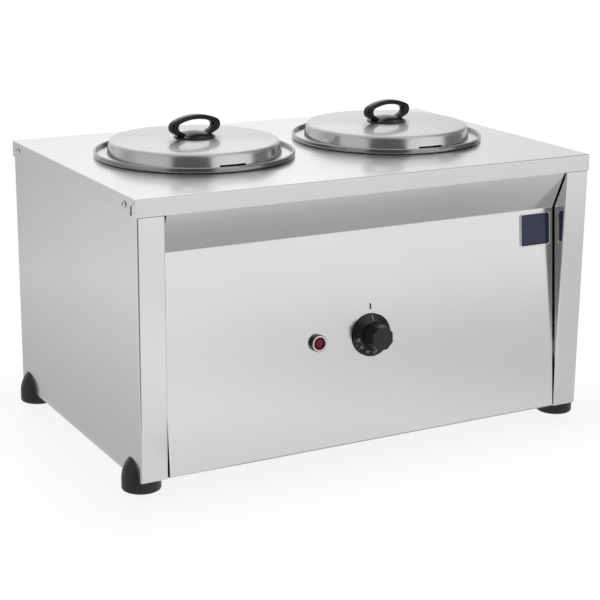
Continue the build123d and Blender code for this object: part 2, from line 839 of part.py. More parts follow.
# Bulb clips: two saddles holding the bulb against the tank floor
with BuildPart() as bulb_clips:
    for step in (-1, 1):
        clip_y = bulb_start + bulb_length / 2 + step * bulb_clip_spread / 2
        with BuildSketch(Plane.XZ.offset(-clip_y - bulb_clip_length / 2)):
            with Locations((0, tank_z)):
                Rectangle(
                    bulb_clip_width, 2 * bulb_radius + bulb_clip_wall, align=(Align.CENTER, Align.MAX)
                )
            with Locations((0, bulb_z)):
                Circle(bulb_radius, mode=Mode.SUBTRACT)
            with Locations((0, tank_z)):
                Rectangle(bulb_radius, bulb_radius, align=(Align.CENTER, Align.MAX), mode=Mode.SUBTRACT)
        extrude(amount=bulb_clip_length)
bulb_clips.part.label = "bulb_clips"
export_step(bulb_clips.part, "parts/bulb_clips.step")

# Lamp body: black plastic barrel outside the panel, threaded stem behind it
lamp_tab_spots = [(-lamp_tab_spread, 0), (lamp_tab_spread, 0)]
lamp_axis = Axis(lamp_plane.origin, lamp_plane.z_dir)
with BuildPart() as lamp_body:
    with BuildSketch(lamp_plane):
        Circle(lamp_radius)
    extrude(amount=lamp_height)
    fillet(lamp_body.edges().sort_by(lamp_axis)[-1], radius=lamp_edge)
    with BuildSketch(lamp_plane.offset(lamp_height)):
        Circle(bezel_outer)
    extrude(amount=-bezel_depth, mode=Mode.SUBTRACT)
    with BuildSketch(lamp_plane.offset(lens_floor)):
        Circle(bezel_inner)
    extrude(amount=lamp_height - lens_floor, mode=Mode.SUBTRACT)
    with BuildSketch(lamp_plane):
        Circle(lamp_stem_radius)
    extrude(amount=-lamp_stem_length)
lamp_body.part.label = "lamp_body"
export_step(lamp_body.part, "parts/lamp_body.step")

# Lamp bezel: bright ring pressed into the barrel's front
with BuildPart() as lamp_bezel:
    with BuildSketch(lamp_plane.offset(lamp_height - bezel_depth)):
        Circle(bezel_outer)
        Circle(bezel_inner, mode=Mode.SUBTRACT)
    extrude(amount=bezel_depth + bezel_proud)
    fillet(lamp_bezel.faces().sort_by(lamp_axis)[-1].edges(), radius=bezel_edge)
lamp_bezel.part.label = "lamp_bezel"
export_step(lamp_bezel.part, "parts/lamp_bezel.step")

# Lamp lens: dark red, slightly domed
with BuildPart() as lamp_lens:
    with BuildSketch(Plane(lamp_plane.origin, x_dir=(1, 0, 0), z_dir=-lamp_plane.y_dir)):
        with BuildLine():
            Polyline((0, lens_floor + lens_rim + lens_dome), (0, lens_floor), (bezel_inner, lens_floor))
            Line((bezel_inner, lens_floor), (bezel_inner, lens_floor + lens_rim))
            TangentArc(
                (0, lens_floor + lens_rim + lens_dome), (bezel_inner, lens_floor + lens_rim), tangent=(1, 0)
            )
        make_face()
    revolve(axis=lamp_axis)
lamp_lens.part.label = "lamp_lens"
export_step(lamp_lens.part, "parts/lamp_lens.step")

# Lamp nut: clamps the stem behind the panel
lamp_hex = hex_nut(lamp_nut_flats, lamp_nut_height, lamp_stem_radius)
with BuildPart() as lamp_nut:
    with Locations(lamp_plane.offset(-sheet - lamp_nut_height)):
        add(lamp_hex)
lamp_nut.part.label = "lamp_nut"
export_step(lamp_nut.part, "parts/lamp_nut.step")

# Lamp tabs: two flat blades on the end of the stem
with BuildPart() as lamp_tabs:
    with BuildSketch(lamp_plane.offset(-lamp_stem_length)):
        with Locations(*lamp_tab_spots):
            Rectangle(tab_thickness, tab_width)
    extrude(amount=-tab_length)
lamp_tabs.part.label = "lamp_tabs"
export_step(lamp_tabs.part, "parts/lamp_tabs.step")

# Terminal block: four poles in a row on the bottom plate, an ear at each end
block_front = block_y - block_depth / 2
pole_spots = [block_x + (pole - (block_poles - 1) / 2) * pole_pitch for pole in range(block_poles)]
ear_spots = [(block_x - ear_x, block_y), (block_x + ear_x, block_y)]
with BuildPart() as terminal_block:
    with BuildSketch(Plane.XY.offset(floor_z)):
        with Locations((block_x, block_y)):
            Rectangle(2 * ear_x + ear_width, block_depth)
    extrude(amount=ear_height)
    with BuildSketch(Plane.XY.offset(floor_z)):
        with Locations((block_x, block_y)):
            Rectangle(block_poles * pole_pitch + 2 * block_end, block_depth)
    extrude(amount=block_height)
    with BuildSketch(Plane.XY.offset(floor_z)):
        with Locations(*ear_spots):
            Circle(panel_screw_radius + hole_play)
    extrude(amount=ear_height, mode=Mode.SUBTRACT)
    with BuildSketch(Plane.XZ.offset(-block_front)):
        with Locations(*[(x, floor_z + pole_height) for x in pole_spots]):
            Circle(pole_hole_radius)
    extrude(amount=-pole_hole_depth, mode=Mode.SUBTRACT)
    with BuildSketch(Plane.XY.offset(floor_z + block_height)):
        with Locations(*[(x, block_y) for x in pole_spots]):
            Circle(pole_well_radius)
    extrude(amount=-pole_well_depth, mode=Mode.SUBTRACT)
    with BuildSketch(Plane.XY.offset(floor_z + block_height - pole_well_depth)):
        with Locations(*[(x, block_y) for x in pole_spots]):
            Circle(pole_screw_radius)
    extrude(amount=-pole_screw_length, mode=Mode.SUBTRACT)
terminal_block.part.label = "terminal_block"
export_step(terminal_block.part, "parts/terminal_block.step")

# Terminal screws: one in each pole's well
pole_screw = pan_screw(pole_screw_radius, pole_screw_length, pole_screw_head, pole_screw_dome)
with BuildPart() as terminal_screws:
    with Locations(*[(x, block_y, floor_z + block_height - pole_well_depth) for x in pole_spots]):
        add(pole_screw)
terminal_screws.part.label = "terminal_screws"
export_step(terminal_screws.part, "parts/terminal_screws.step")

# Terminal block screws: down through the ears and the bottom plate
block_screw = pan_screw(
    panel_screw_radius, ear_height + panel_screw_length / 2, panel_screw_head, panel_screw_dome
)
with BuildPart() as terminal_block_screws:
    with Locations(*[(x, y, floor_z + ear_height) for x, y in ear_spots]):
        add(block_screw)
terminal_block_screws.part.label = "terminal_block_screws"
export_step(terminal_block_screws.part, "parts/terminal_block_screws.step")

# Earth stud: plain stud welded on the bottom plate
with BuildPart() as earth_stud:
    with BuildSketch(Plane.XY.offset(floor_z)):
        with Locations((earth_x, earth_y)):
            Circle(stud_radius)
    extrude(amount=earth_height)
earth_stud.part.label = "earth_stud"
export_step(earth_stud.part, "parts/earth_stud.step")

# Earth lug: flat ring with a barrel crimped on the earth wire
barrel_x = earth_x - lug_length
barrel_z = lug_z + lug_barrel_radius
with BuildPart() as earth_lug:
    with BuildSketch(Plane.XY.offset(lug_z)):
        with Locations((earth_x, earth_y)):
            Circle(lug_radius)
        with Locations((earth_x, earth_y)):
            Rectangle(lug_length, 2 * lug_barrel_radius, align=(Align.MAX, Align.CENTER))
        with Locations((earth_x, earth_y)):
            Circle(stud_radius, mode=Mode.SUBTRACT)
    extrude(amount=lug_thickness)
    with BuildSketch(Plane.YZ.offset(barrel_x)):
        with Locations((earth_y, barrel_z)):
            Circle(lug_barrel_radius)
    extrude(amount=lug_barrel_length)
earth_lug.part.label = "earth_lug"
export_step(earth_lug.part, "parts/earth_lug.step")

# Wires: insulated leads from blade to blade, straight runs joined by round bends
tab_ends = [knob_plane.from_local_coords((x, y, -thermostat_back - tab_length)) for x, y in tab_spots]
lamp_ends = [
    lamp_plane.from_local_coords((x, y, -lamp_stem_length - tab_length)) for x, y in lamp_tab_spots
]
wire_y = element_end - tab_thickness / 2
pole_z = floor_z + pole_height
pole_end = block_front + pole_hole_depth
blade_z = element_z - terminal_drop
load_loop_z = blade_z - load_loop_drop
neutral_z = pole_z + neutral_rise
inwards = knob_plane.z_dir * -1


def back_to(point, y):
    """Point reached by running straight back from a blade to a given depth."""
    return point + inwards * ((y - point.Y) / cos(panel_lean))


live_turn = back_to(tab_ends[0], wire_y)
load_turn = back_to(tab_ends[1], wire_y)
lamp_turn = back_to(lamp_ends[0], wire_y)
wire_routes = {
    "live_wire": [
        [
            tab_ends[0],
            live_turn,
            (live_turn.X, wire_y, pole_z),
            (pole_spots[1], block_front - wire_lead, pole_z),
            (pole_spots[1], pole_end, pole_z),
        ]
    ],
    "load_wire": [
        [
            tab_ends[1],
            load_turn,
            (load_turn.X, wire_y, load_loop_z),
            (element_spots[0], wire_y, load_loop_z),
            (element_spots[0], wire_y, blade_z),
        ]
    ],
    "neutral_wire": [
        [
            (element_spots[1], wire_y, blade_z),
            (element_spots[1], wire_y, neutral_z),
            (pole_spots[2], block_front - wire_lead, pole_z),
            (pole_spots[2], pole_end, pole_z),
        ]
    ],
    "earth_wire": [
        [
            (pole_spots[3], pole_end, pole_z),
            (pole_spots[3], earth_y, barrel_z),
            (barrel_x, earth_y, barrel_z),
        ]
    ],
    "lamp_wires": [
        [
            lamp_ends[1],
            lamp_ends[1] + inwards * wire_loop,
            tab_ends[2] + inwards * wire_loop,
            tab_ends[2],
        ],
        [
            lamp_ends[0],
            lamp_turn,
            (lamp_turn.X, wire_y, pole_z),
            (pole_spots[0], block_front - wire_lead, pole_z),
            (pole_spots[0], pole_end, pole_z),
        ],
    ],
}
for name, routes in wire_routes.items():
    with BuildPart() as wire:
        for points in routes:
            with BuildLine() as wire_path:
                FilletPolyline(*points, radius=wire_bend)
            with BuildSketch(Plane(wire_path.line @ 0, z_dir=wire_path.line % 0)):
                Circle(wire_radius)
            sweep()
    wire.part.label = name
    export_step(wire.part, f"parts/{name}.step")

# Gland body: hexagon collar outside the back panel, threaded tail inside, nose for the cap
gland_plane = Plane((gland_x, back_face_y, base_z + gland_rise), x_dir=(-1, 0, 0), z_dir=(0, 1, 0))
gland_nose = gland_flange + gland_nose_length
with BuildPart() as gland_body:
    with BuildSketch(gland_plane.offset(-sheet - gland_tail)):
        Circle(gland_radius)
    extrude(amount=sheet + gland_tail)
    with BuildSketch(gland_plane):
        RegularPolygon(gland_flats / 2, 6, major_radius=False)
    extrude(amount=gland_flange)
    with BuildSketch(gland_plane):
        Circle(gland_nose_radius)
    extrude(amount=gland_nose)
    with BuildSketch(gland_plane.offset(-sheet - gland_tail)):
        Circle(gland_bore)
    extrude(amount=sheet + gland_tail + gland_nose, mode=Mode.SUBTRACT)
    with BuildSketch(gland_plane.offset(gland_nose)):
        Circle(gland_seal_radius)
    extrude(amount=-gland_seal_length, mode=Mode.SUBTRACT)
gland_body.part.label = "gland_body"
export_step(gland_body.part, "parts/gland_body.step")

# Gland seal: rubber ring in the nose that grips the cord
with BuildPart() as gland_seal:
    with BuildSketch(gland_plane.offset(gland_nose)):
        Circle(gland_seal_radius)
        Circle(gland_bore, mode=Mode.SUBTRACT)
    extrude(amount=-gland_seal_length)
gland_seal.part.label = "gland_seal"
export_step(gland_seal.part, "parts/gland_seal.step")

# Gland cap: domed nut over the nose and the seal
with BuildPart() as gland_cap:
    with BuildSketch(gland_plane.offset(gland_flange)):
        Circle(gland_cap_radius)
    extrude(amount=gland_cap_length)
    fillet(gland_cap.edges().sort_by(Axis.Y)[-1], radius=gland_cap_edge)
    with BuildSketch(gland_plane.offset(gland_flange)):
        Circle(gland_nose_radius)
    extrude(amount=gland_nose_length, mode=Mode.SUBTRACT)
    with BuildSketch(gland_plane.offset(gland_flange)):
        Circle(gland_bore)
    extrude(amount=gland_cap_length, mode=Mode.SUBTRACT)
gland_cap.part.label = "gland_cap"
export_step(gland_cap.part, "parts/gland_cap.step")

# Gland lock nut: on the tail inside the back panel
gland_nut = hex_nut(gland_flats, gland_nut_height, gland_radius)
with BuildPart() as gland_locknut:
    with Locations(gland_plane.offset(-sheet - gland_nut_height)):
        add(gland_nut)
gland_locknut.part.label = "gland_locknut"
export_step(gland_locknut.part, "parts/gland_locknut.step")

# Badge plate: blank rounded plate under the front panel's bend
badge_x = panel_x - badge_inset - badge_width / 2
badge_rise = bend_z - base_z - bend_outside - badge_drop - badge_height / 2
with BuildPart() as badge_plate:
    with BuildSketch(on_panel(badge_x, badge_rise)):
        RectangleRounded(badge_width, badge_height, badge_corner)
    extrude(amount=badge_thickness)
    fillet(badge_plate.faces().sort_by(Axis.Y)[0].edges(), radius=badge_edge)
badge_plate.part.label = "badge_plate"
export_step(badge_plate.part, "parts/badge_plate.step")

# Pots with their lids, handles and handle screws, one set a side
rim_z = top_z + rim_height
pot_z = rim_z - pot_depth
pot_seam_z = pot_z + pot_base_height
handle_screw = pan_screw(
    lid_screw_radius, lid_sheet + lid_screw_grip, lid_screw_head, lid_screw_dome
)
for name, side in (("left", -1), ("right", 1)):
    pot_axis = Axis((side * pot_x, pot_y, 0), (0, 0, 1))
    pot_plane = Plane((side * pot_x, pot_y, 0), x_dir=(1, 0, 0), z_dir=(0, -1, 0))
    crown_plane = pot_plane.shift_origin((side * pot_x, pot_y, crown_z)).rotated((0, 0, handle_turn))
    crown_under = Plane((side * pot_x, pot_y, crown_z - lid_sheet), x_dir=(1, 0, 0), z_dir=(0, 0, -1))

    # Pot base: pressed dish welded under the wall
    with BuildPart() as pot_base:
        with BuildSketch(pot_plane):
            with BuildLine():
                FilletPolyline(
                    (0, pot_z),
                    (pot_radius, pot_z),
                    (pot_radius, pot_seam_z),
                    (pot_radius - pot_wall, pot_seam_z),
                    (pot_radius - pot_wall, pot_z + pot_wall),
                    (0, pot_z + pot_wall),
                    radius=[0, pot_corner, 0, 0, pot_corner - pot_wall, 0],
                    close=True,
                )
            make_face()
        revolve(axis=pot_axis)
    pot_base.part.label = f"{name}_pot_base"
    export_step(pot_base.part, f"parts/{name}_pot_base.step")

    # Pot: straight rolled wall, turned out at the top into a ledge over the cover's hole
    with BuildPart() as pot:
        with BuildSketch(pot_plane):
            with BuildLine():
                FilletPolyline(
                    (pot_radius, pot_seam_z),
                    (pot_radius, top_z + ledge_lift),
                    (bead_radius, top_z + ledge_lift),
                    (bead_radius, seat_z),
                    (pot_radius - pot_wall, seat_z),
                    (pot_radius - pot_wall, pot_seam_z),
                    radius=[0, 0, 0, 0, pot_wall, 0],
                    close=True,
                )
            make_face()
        revolve(axis=pot_axis)
    pot.part.label = f"{name}_pot"
    export_step(pot.part, f"parts/{name}_pot.step")

    # Pot rim: upstanding bead round the ledge, bearing on the cover
    with BuildPart() as pot_rim:
        with BuildSketch(pot_plane):
            with BuildLine():
                FilletPolyline(
                    (bead_radius, top_z),
                    (rim_radius, top_z),
                    (rim_radius, rim_z),
                    (bead_radius, rim_z),
                    radius=[0, rim_foot_edge, rim_edge, rim_edge],
                    close=True,
                )
            make_face()
        revolve(axis=pot_axis)
    pot_rim.part.label = f"{name}_pot_rim"
    export_step(pot_rim.part, f"parts/{name}_pot_rim.step")

    # Lid: pressed dome on a flat flange that drops inside the bead, notched at the front for a ladle
    with BuildPart() as lid:
        with BuildSketch(pot_plane):
            with BuildLine():
                Polyline(
                    (0, crown_z),
                    (0, seat_z),
                    (lid_base_radius, seat_z),
                    (lid_shoulder_radius, seat_z + lid_shoulder_rise),
                )
                TangentArc(
                    (lid_flat, crown_z), (lid_shoulder_radius, seat_z + lid_shoulder_rise), tangent=(1, 0)
                )
                Line((lid_flat, crown_z), (0, crown_z))
            make_face()
        revolve(axis=pot_axis)
        shoulder = lid.edges().filter_by(GeomType.CIRCLE).sort_by(Axis.Z)[1]
        fillet(shoulder, radius=lid_corner)
        offset(amount=-lid_sheet, openings=lid.faces().sort_by(Axis.Z)[0])
        with BuildSketch(Plane.XY.offset(seat_z)):
            with Locations((side * pot_x, pot_y)):
                Circle(bead_radius - lid_gap)
                Circle(lid_base_radius - lid_sheet, mode=Mode.SUBTRACT)
        extrude(amount=lid_sheet)
        with BuildSketch(Plane.XY.offset(seat_z)):
            with Locations((side * pot_x, pot_y - bead_radius)):
                Rectangle(notch_width, notch_depth, align=(Align.CENTER, Align.MIN))
        extrude(amount=notch_rise, mode=Mode.SUBTRACT)
        with BuildSketch(Plane.XY.offset(crown_z)):
            with Locations((side * pot_x, pot_y)):
                Circle(lid_screw_radius + hole_play)
        extrude(amount=-lid_sheet, mode=Mode.SUBTRACT)
    lid.part.label = f"{name}_lid"
    export_step(lid.part, f"parts/{name}_lid.step")

    # Handle: black moulded loop on a domed base
    with BuildPart() as lid_handle:
        with BuildSketch(crown_plane) as loop_outline:
            with BuildLine():
                Polyline(
                    (-loop_reach, loop_reach_rise),
                    (-loop_foot, 0),
                    (loop_foot, 0),
                    (loop_reach, loop_reach_rise),
                )
                ThreePointArc(
                    (-loop_reach, loop_reach_rise), (0, loop_height), (loop_reach, loop_reach_rise)
                )
            make_face()
            outer_corners = loop_outline.vertices().sort_by(Axis.X)
            fillet([outer_corners[0], outer_corners[-1]], radius=loop_corner)
        extrude(amount=loop_depth / 2, both=True)
        with BuildSketch(crown_plane) as eye_outline:
            with BuildLine():
                Polyline(
                    (-eye_reach, eye_reach_rise),
                    (-eye_foot, eye_foot_rise),
                    (eye_foot, eye_foot_rise),
                    (eye_reach, eye_reach_rise),
                )
                ThreePointArc((-eye_reach, eye_reach_rise), (0, eye_height), (eye_reach, eye_reach_rise))
            make_face()
            eye_corners = eye_outline.vertices().sort_by(Axis.X)
            fillet([eye_corners[0], eye_corners[-1]], radius=eye_corner)
        extrude(amount=loop_depth, both=True, mode=Mode.SUBTRACT)
        loop_across = Axis(crown_plane.origin, crown_plane.z_dir)
        loop_sides = lid_handle.faces().filter_by(loop_across).sort_by(loop_across)
        fillet(loop_sides[0].edges() + loop_sides[-1].edges(), radius=loop_edge)
        with BuildSketch(crown_plane):
            with BuildLine():
                Polyline(
                    (0, handle_base_height),
                    (0, 0),
                    (handle_base_radius, 0),
                    (handle_base_radius, handle_base_edge),
                )
                TangentArc(
                    (0, handle_base_height), (handle_base_radius, handle_base_edge), tangent=(1, 0)
                )
            make_face()
        revolve(axis=pot_axis)
        split(bisect_by=Plane.XY.offset(crown_z), keep=Keep.TOP)
        with BuildSketch(Plane.XY.offset(crown_z)):
            with Locations((side * pot_x, pot_y)):
                Circle(lid_screw_radius)
        extrude(amount=lid_screw_grip, mode=Mode.SUBTRACT)
    lid_handle.part.label = f"{name}_lid_handle"
    export_step(lid_handle.part, f"parts/{name}_lid_handle.step")

    # Handle screw: wide-headed, up through the crown into the handle
    with BuildPart() as lid_screw:
        with Locations(crown_under):
            add(handle_screw)
    lid_screw.part.label = f"{name}_lid_screw"
    export_step(lid_screw.part, f"parts/{name}_lid_screw.step")
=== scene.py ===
import math

import bmesh
import bpy
from mathutils import Matrix, Vector


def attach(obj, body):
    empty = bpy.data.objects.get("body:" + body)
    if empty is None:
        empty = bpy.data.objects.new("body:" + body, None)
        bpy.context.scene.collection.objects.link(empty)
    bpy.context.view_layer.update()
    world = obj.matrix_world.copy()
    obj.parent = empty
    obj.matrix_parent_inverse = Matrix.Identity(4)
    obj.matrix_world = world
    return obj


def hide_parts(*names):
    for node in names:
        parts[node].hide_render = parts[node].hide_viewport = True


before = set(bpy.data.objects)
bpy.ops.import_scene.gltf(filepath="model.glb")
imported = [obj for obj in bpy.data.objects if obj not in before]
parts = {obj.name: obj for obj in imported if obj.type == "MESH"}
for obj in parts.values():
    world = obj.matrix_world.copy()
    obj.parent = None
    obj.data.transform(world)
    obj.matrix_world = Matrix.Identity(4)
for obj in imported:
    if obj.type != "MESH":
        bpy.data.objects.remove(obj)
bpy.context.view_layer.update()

# Side panels: each folded from one sheet into a front post, a side wall and a return at the back.
# Satin cold-rolled stainless, 1 mm thick, bent on a press brake; the mill's fine grain runs along the
# sheet, and its skin still mirrors what stands near it.
MM = 0.001
ALONG_X, ALONG_Y, ALONG_Z = range(3)
SHEET_DARK = (0.720, 0.718, 0.712, 1.0)
SHEET_LIGHT = (0.775, 0.773, 0.767, 1.0)
SHEET_CLOUD = 7.0
GRAIN_ALONG = 9.0
GRAIN_ACROSS = 1400.0
GRAIN_STRENGTH = 0.04
GRAIN_DEPTH = 0.02
NOISE_ROUGHNESS = 0.55
MIX_FIRST = 6
MIX_SECOND = 7
MIX_RESULT = 2


def shader_of(material):
    return material.node_tree.nodes["Principled BSDF"]


def new_finish(name, **constants):
    """Material with one shader whose sockets hold the given constants."""
    material = bpy.data.materials.new(name)
    material.use_nodes = True
    shader = shader_of(material)
    for socket, value in constants.items():
        shader.inputs[socket.replace("_", " ")].default_value = value
    return material


def add_node(owner, kind, **values):
    """New shader node: small-letter names are its settings, capital ones its input sockets."""
    made = owner.node_tree.nodes.new(kind)
    for key, value in values.items():
        if key[0].islower():
            setattr(made, key, value)
        else:
            made.inputs[key.replace("_", " ")].default_value = value
    return made


def wire(owner, output, socket):
    owner.node_tree.links.new(output, socket)


def feed(owner, value, socket):
    """Wires another node's output to a socket, or sets a fixed value on it."""
    if isinstance(value, bpy.types.NodeSocket):
        wire(owner, value, socket)
    else:
        socket.default_value = value


def spread(owner, fac, low, high, start=0.0, end=1.0):
    """Maps one range of a value onto another, held at both ends."""
    node = add_node(owner, "ShaderNodeMapRange", From_Min=start, From_Max=end, To_Min=low, To_Max=high)
    wire(owner, fac, node.inputs["Value"])
    return node.outputs["Result"]


def tint(owner, fac, first, second):
    """Runs from one colour to another with a 0 to 1 value; each is a fixed colour or an output."""
    node = add_node(owner, "ShaderNodeMix", data_type="RGBA")
    wire(owner, fac, node.inputs["Factor"])
    feed(owner, first, node.inputs[MIX_FIRST])
    feed(owner, second, node.inputs[MIX_SECOND])
    return node.outputs[MIX_RESULT]


def place(owner, scale=(1, 1, 1), location=(0, 0, 0)):
    """Texture coordinates in metres, stretched by a scale on each axis."""
    coords = add_node(owner, "ShaderNodeTexCoord")
    mapping = add_node(owner, "ShaderNodeMapping", Scale=scale, Location=location)
    wire(owner, coords.outputs["Object"], mapping.inputs["Vector"])
    return mapping.outputs["Vector"]


def noise(owner, vector, scale=1.0, detail=3.0):
    node = add_node(owner, "ShaderNodeTexNoise", Scale=scale, Detail=detail, Roughness=NOISE_ROUGHNESS)
    wire(owner, vector, node.inputs["Vector"])
    return node.outputs["Fac"]


def bump(owner, height, strength, depth):
    """Raises a surface by a texture, its depth in mm."""
    node = add_node(owner, "ShaderNodeBump", Strength=strength, Distance=depth * MM)
    wire(owner, height, node.inputs["Height"])
    wire(owner, node.outputs["Normal"], shader_of(owner).inputs["Normal"])


def satin_metal(name, grain, dark, light, smooth, rough):
    """Rolled metal with its grain along one axis: fine streaks in gloss, broad clouds in tone."""
    material = new_finish(name, Metallic=1.0)
    shader = shader_of(material)
    scale = [GRAIN_ACROSS] * 3
    scale[grain] = GRAIN_ALONG
    streaks = noise(material, place(material, scale))
    clouds = noise(material, place(material), SHEET_CLOUD, detail=4.0)
    wire(material, tint(material, clouds, dark, light), shader.inputs["Base Color"])
    wire(material, spread(material, streaks, smooth, rough), shader.inputs["Roughness"])
    bump(material, streaks, GRAIN_STRENGTH, GRAIN_DEPTH)
    return material


def dress(material, *nodes):
    """Puts a finish on carried-over pieces."""
    for name in nodes:
        mesh = parts[name].data
        mesh.materials.clear()
        mesh.materials.append(material)


sheet_deep = satin_metal("satin_sheet_deep", ALONG_Y, SHEET_DARK, SHEET_LIGHT, smooth=0.13, rough=0.19)
dress(sheet_deep, "left_side_panel", "right_side_panel")

# Front panel and back panel: the front leans back below its bend and slopes forward above it, and the
# back is flat with two rows of vents. Both are the same satin stainless, grain running left to right.
sheet_wide = satin_metal("satin_sheet_wide", ALONG_X, SHEET_DARK, SHEET_LIGHT, smooth=0.13, rough=0.19)
dress(sheet_wide, "front_panel", "back_panel")

# Bottom plate: a flat closing sheet with vents, lying on the foot flanges of the four walls.
# Plain mill-finish stainless, duller than the panels because it never shows in use.
MILL_DARK = (0.42, 0.42, 0.41, 1.0)
MILL_LIGHT = (0.52, 0.52, 0.51, 1.0)
mill_sheet = satin_metal("mill_sheet", ALONG_X, MILL_DARK, MILL_LIGHT, smooth=0.30, rough=0.40)
dress(mill_sheet, "bottom_plate")

# Feet: four round pads with a tongue that laps the side wall, screwed up from below.
# Injection-moulded black plastic with a fine spark-eroded grain and a satin sheen.
FOOT_BLACK = (0.006, 0.006, 0.0065, 1.0)
FOOT_GREY = (0.014, 0.014, 0.015, 1.0)
PLASTIC_IOR = 1.5
PLASTIC_CLOUD = 45.0
PLASTIC_STRENGTH = 0.25


def moulded(name, dark, light, smooth, rough, grain, depth):
    """Moulded plastic: fine grain in the surface, faint dusty clouds in tone and sheen."""
    material = new_finish(name, IOR=PLASTIC_IOR)
    shader = shader_of(material)
    here = place(material)
    clouds = noise(material, here, PLASTIC_CLOUD)
    wire(material, tint(material, clouds, dark, light), shader.inputs["Base Color"])
    wire(material, spread(material, clouds, smooth, rough), shader.inputs["Roughness"])
    bump(material, noise(material, here, grain, detail=2.0), PLASTIC_STRENGTH, depth)
    return material


black_plastic = moulded(
    "foot_plastic", FOOT_BLACK, FOOT_GREY, smooth=0.34, rough=0.46, grain=2200.0, depth=0.05
)
dress(black_plastic, "front_left_foot", "front_right_foot", "back_left_foot", "back_right_foot")

# Foot screws and hexagon nuts: a pan-head screw up through each foot, the wall's flange and the plate
# into a nut. Zinc-plated steel, the head pressed with a cross recess and the shank thread-rolled.
ZINC_DARK = (0.60, 0.61, 0.62, 1.0)
ZINC_LIGHT = (0.74, 0.74, 0.73, 1.0)
FOOT_SCREW_X = 287.4
FOOT_SCREW_Y = 168.0
FOOT_SCREW_Z = 8.0
FOOT_SCREW = {"radius": 2.5, "length": 15.0, "head": 4.8, "dome": 3.0}
CROWN_STEPS = 16
SLOT_RISE = 0.5
HEAD_CHAMFER = 0.12
CREST_AT = 0.15
ROOT_AT = 0.6
WELD = 0.0005


def ring_of(mesh, stand, radius, height, segments, shape=None):
    """Ring of points in mm round a stand's Z axis; one point where the radius is nothing."""
    if radius == 0:
        return [mesh.verts.new(stand @ Vector((0, 0, height * MM)))]
    points = []
    for step in range(segments):
        angle = 2 * math.pi * step / segments
        reach, rise = (radius, height) if shape is None else shape(radius, height, angle)
        spot = Vector((reach * math.cos(angle), reach * math.sin(angle), rise)) * MM
        points.append(mesh.verts.new(stand @ spot))
    return points


def skin(mesh, lower, upper):
    """Closes the strip between two rings, or between a ring and a point."""
    count = max(len(lower), len(upper))
    for step in range(count):
        after = (step + 1) % count
        if len(lower) == 1:
            mesh.faces.new((lower[0], upper[after], upper[step]))
        elif len(upper) == 1:
            mesh.faces.new((lower[step], lower[after], upper[0]))
        else:
            mesh.faces.new((lower[step], lower[after], upper[after], upper[step]))


def turn(mesh, stand, profile, segments=64, shape=None):
    """Turned solid: (radius, height) points in mm spun round a stand's Z axis."""
    rings = [ring_of(mesh, stand, radius, height, segments, shape) for radius, height in profile]
    for lower, upper in zip(rings, rings[1:]):
        skin(mesh, lower, upper)


def aim(spot, across, out):
    """Stand at a point in mm, with its X axis across and its Z axis out."""
    x_axis = Vector(across).normalized()
    z_axis = Vector(out).normalized()
    y_axis = z_axis.cross(x_axis)
    stand = Matrix((x_axis, y_axis, z_axis)).transposed().to_4x4()
    stand.translation = Vector(spot) * MM
    return stand


def pan_screw(mesh, stand, radius, length, head, dome):
    """Pan-head screw with a cross recess and a rolled thread, head on the stand, shank below it."""
    fall = dome * 2 / 3
    curve = (head * head + fall * fall) / (2 * fall)
    slot = head * 0.15
    slot_reach = head * 0.55
    slot_depth = dome * 0.55
    pitch = radius * 0.36
    root = radius * 0.82
    tip = radius * 0.6
    turns = int((length - radius * 0.4) / pitch)

    def pressed(reach, height, angle):
        """Presses the cross into the crown of the head."""
        x = abs(reach * math.cos(angle))
        y = abs(reach * math.sin(angle))
        inside = min(x, y) < slot and max(x, y) < slot_reach
        return reach, height - slot_depth * (1 - max(x, y) / slot_reach * SLOT_RISE) * inside

    crown = [(0, dome - slot_depth)]
    for step in range(1, CROWN_STEPS + 1):
        reach = head * step / CROWN_STEPS
        crown.append((reach, dome - curve + math.sqrt(curve * curve - reach * reach)))
    turn(mesh, stand, crown, shape=pressed)
    under = [(head, dome / 3), (head, HEAD_CHAMFER), (head - HEAD_CHAMFER, 0), (radius, 0)]
    for step in range(turns):
        under.append((radius, -pitch * (step + CREST_AT)))
        under.append((root, -pitch * (step + ROOT_AT)))
    under += [(tip, -length), (0, -length)]
    turn(mesh, stand, under, segments=24)


def set_in(name, mesh, material, body, *nodes, sharp=40):
    """Makes a mesh into a piece of the object that moves with a body and stands for some nodes."""
    bmesh.ops.remove_doubles(mesh, verts=mesh.verts, dist=WELD * MM)
    bmesh.ops.recalc_face_normals(mesh, faces=mesh.faces)
    data = bpy.data.meshes.new(name)
    mesh.to_mesh(data)
    mesh.free()
    data.shade_smooth()
    data.set_sharp_from_angle(angle=math.radians(sharp))
    data.materials.append(material)
    piece = bpy.data.objects.new(name, data)
    bpy.context.scene.collection.objects.link(piece)
    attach(piece, body)
    if nodes:
        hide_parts(*nodes)
    return piece


bright_zinc = satin_metal("bright_zinc", ALONG_Z, ZINC_DARK, ZINC_LIGHT, smooth=0.14, rough=0.24)
foot_screws = bmesh.new()
for x in (-FOOT_SCREW_X, FOOT_SCREW_X):
    for y in (-FOOT_SCREW_Y, FOOT_SCREW_Y):
        pan_screw(foot_screws, aim((x, y, FOOT_SCREW_Z), (1, 0, 0), (0, 0, -1)), **FOOT_SCREW)
set_in("foot_screws_cross", foot_screws, bright_zinc, "housing", "foot_screws")
dress(bright_zinc, "hex_nuts")

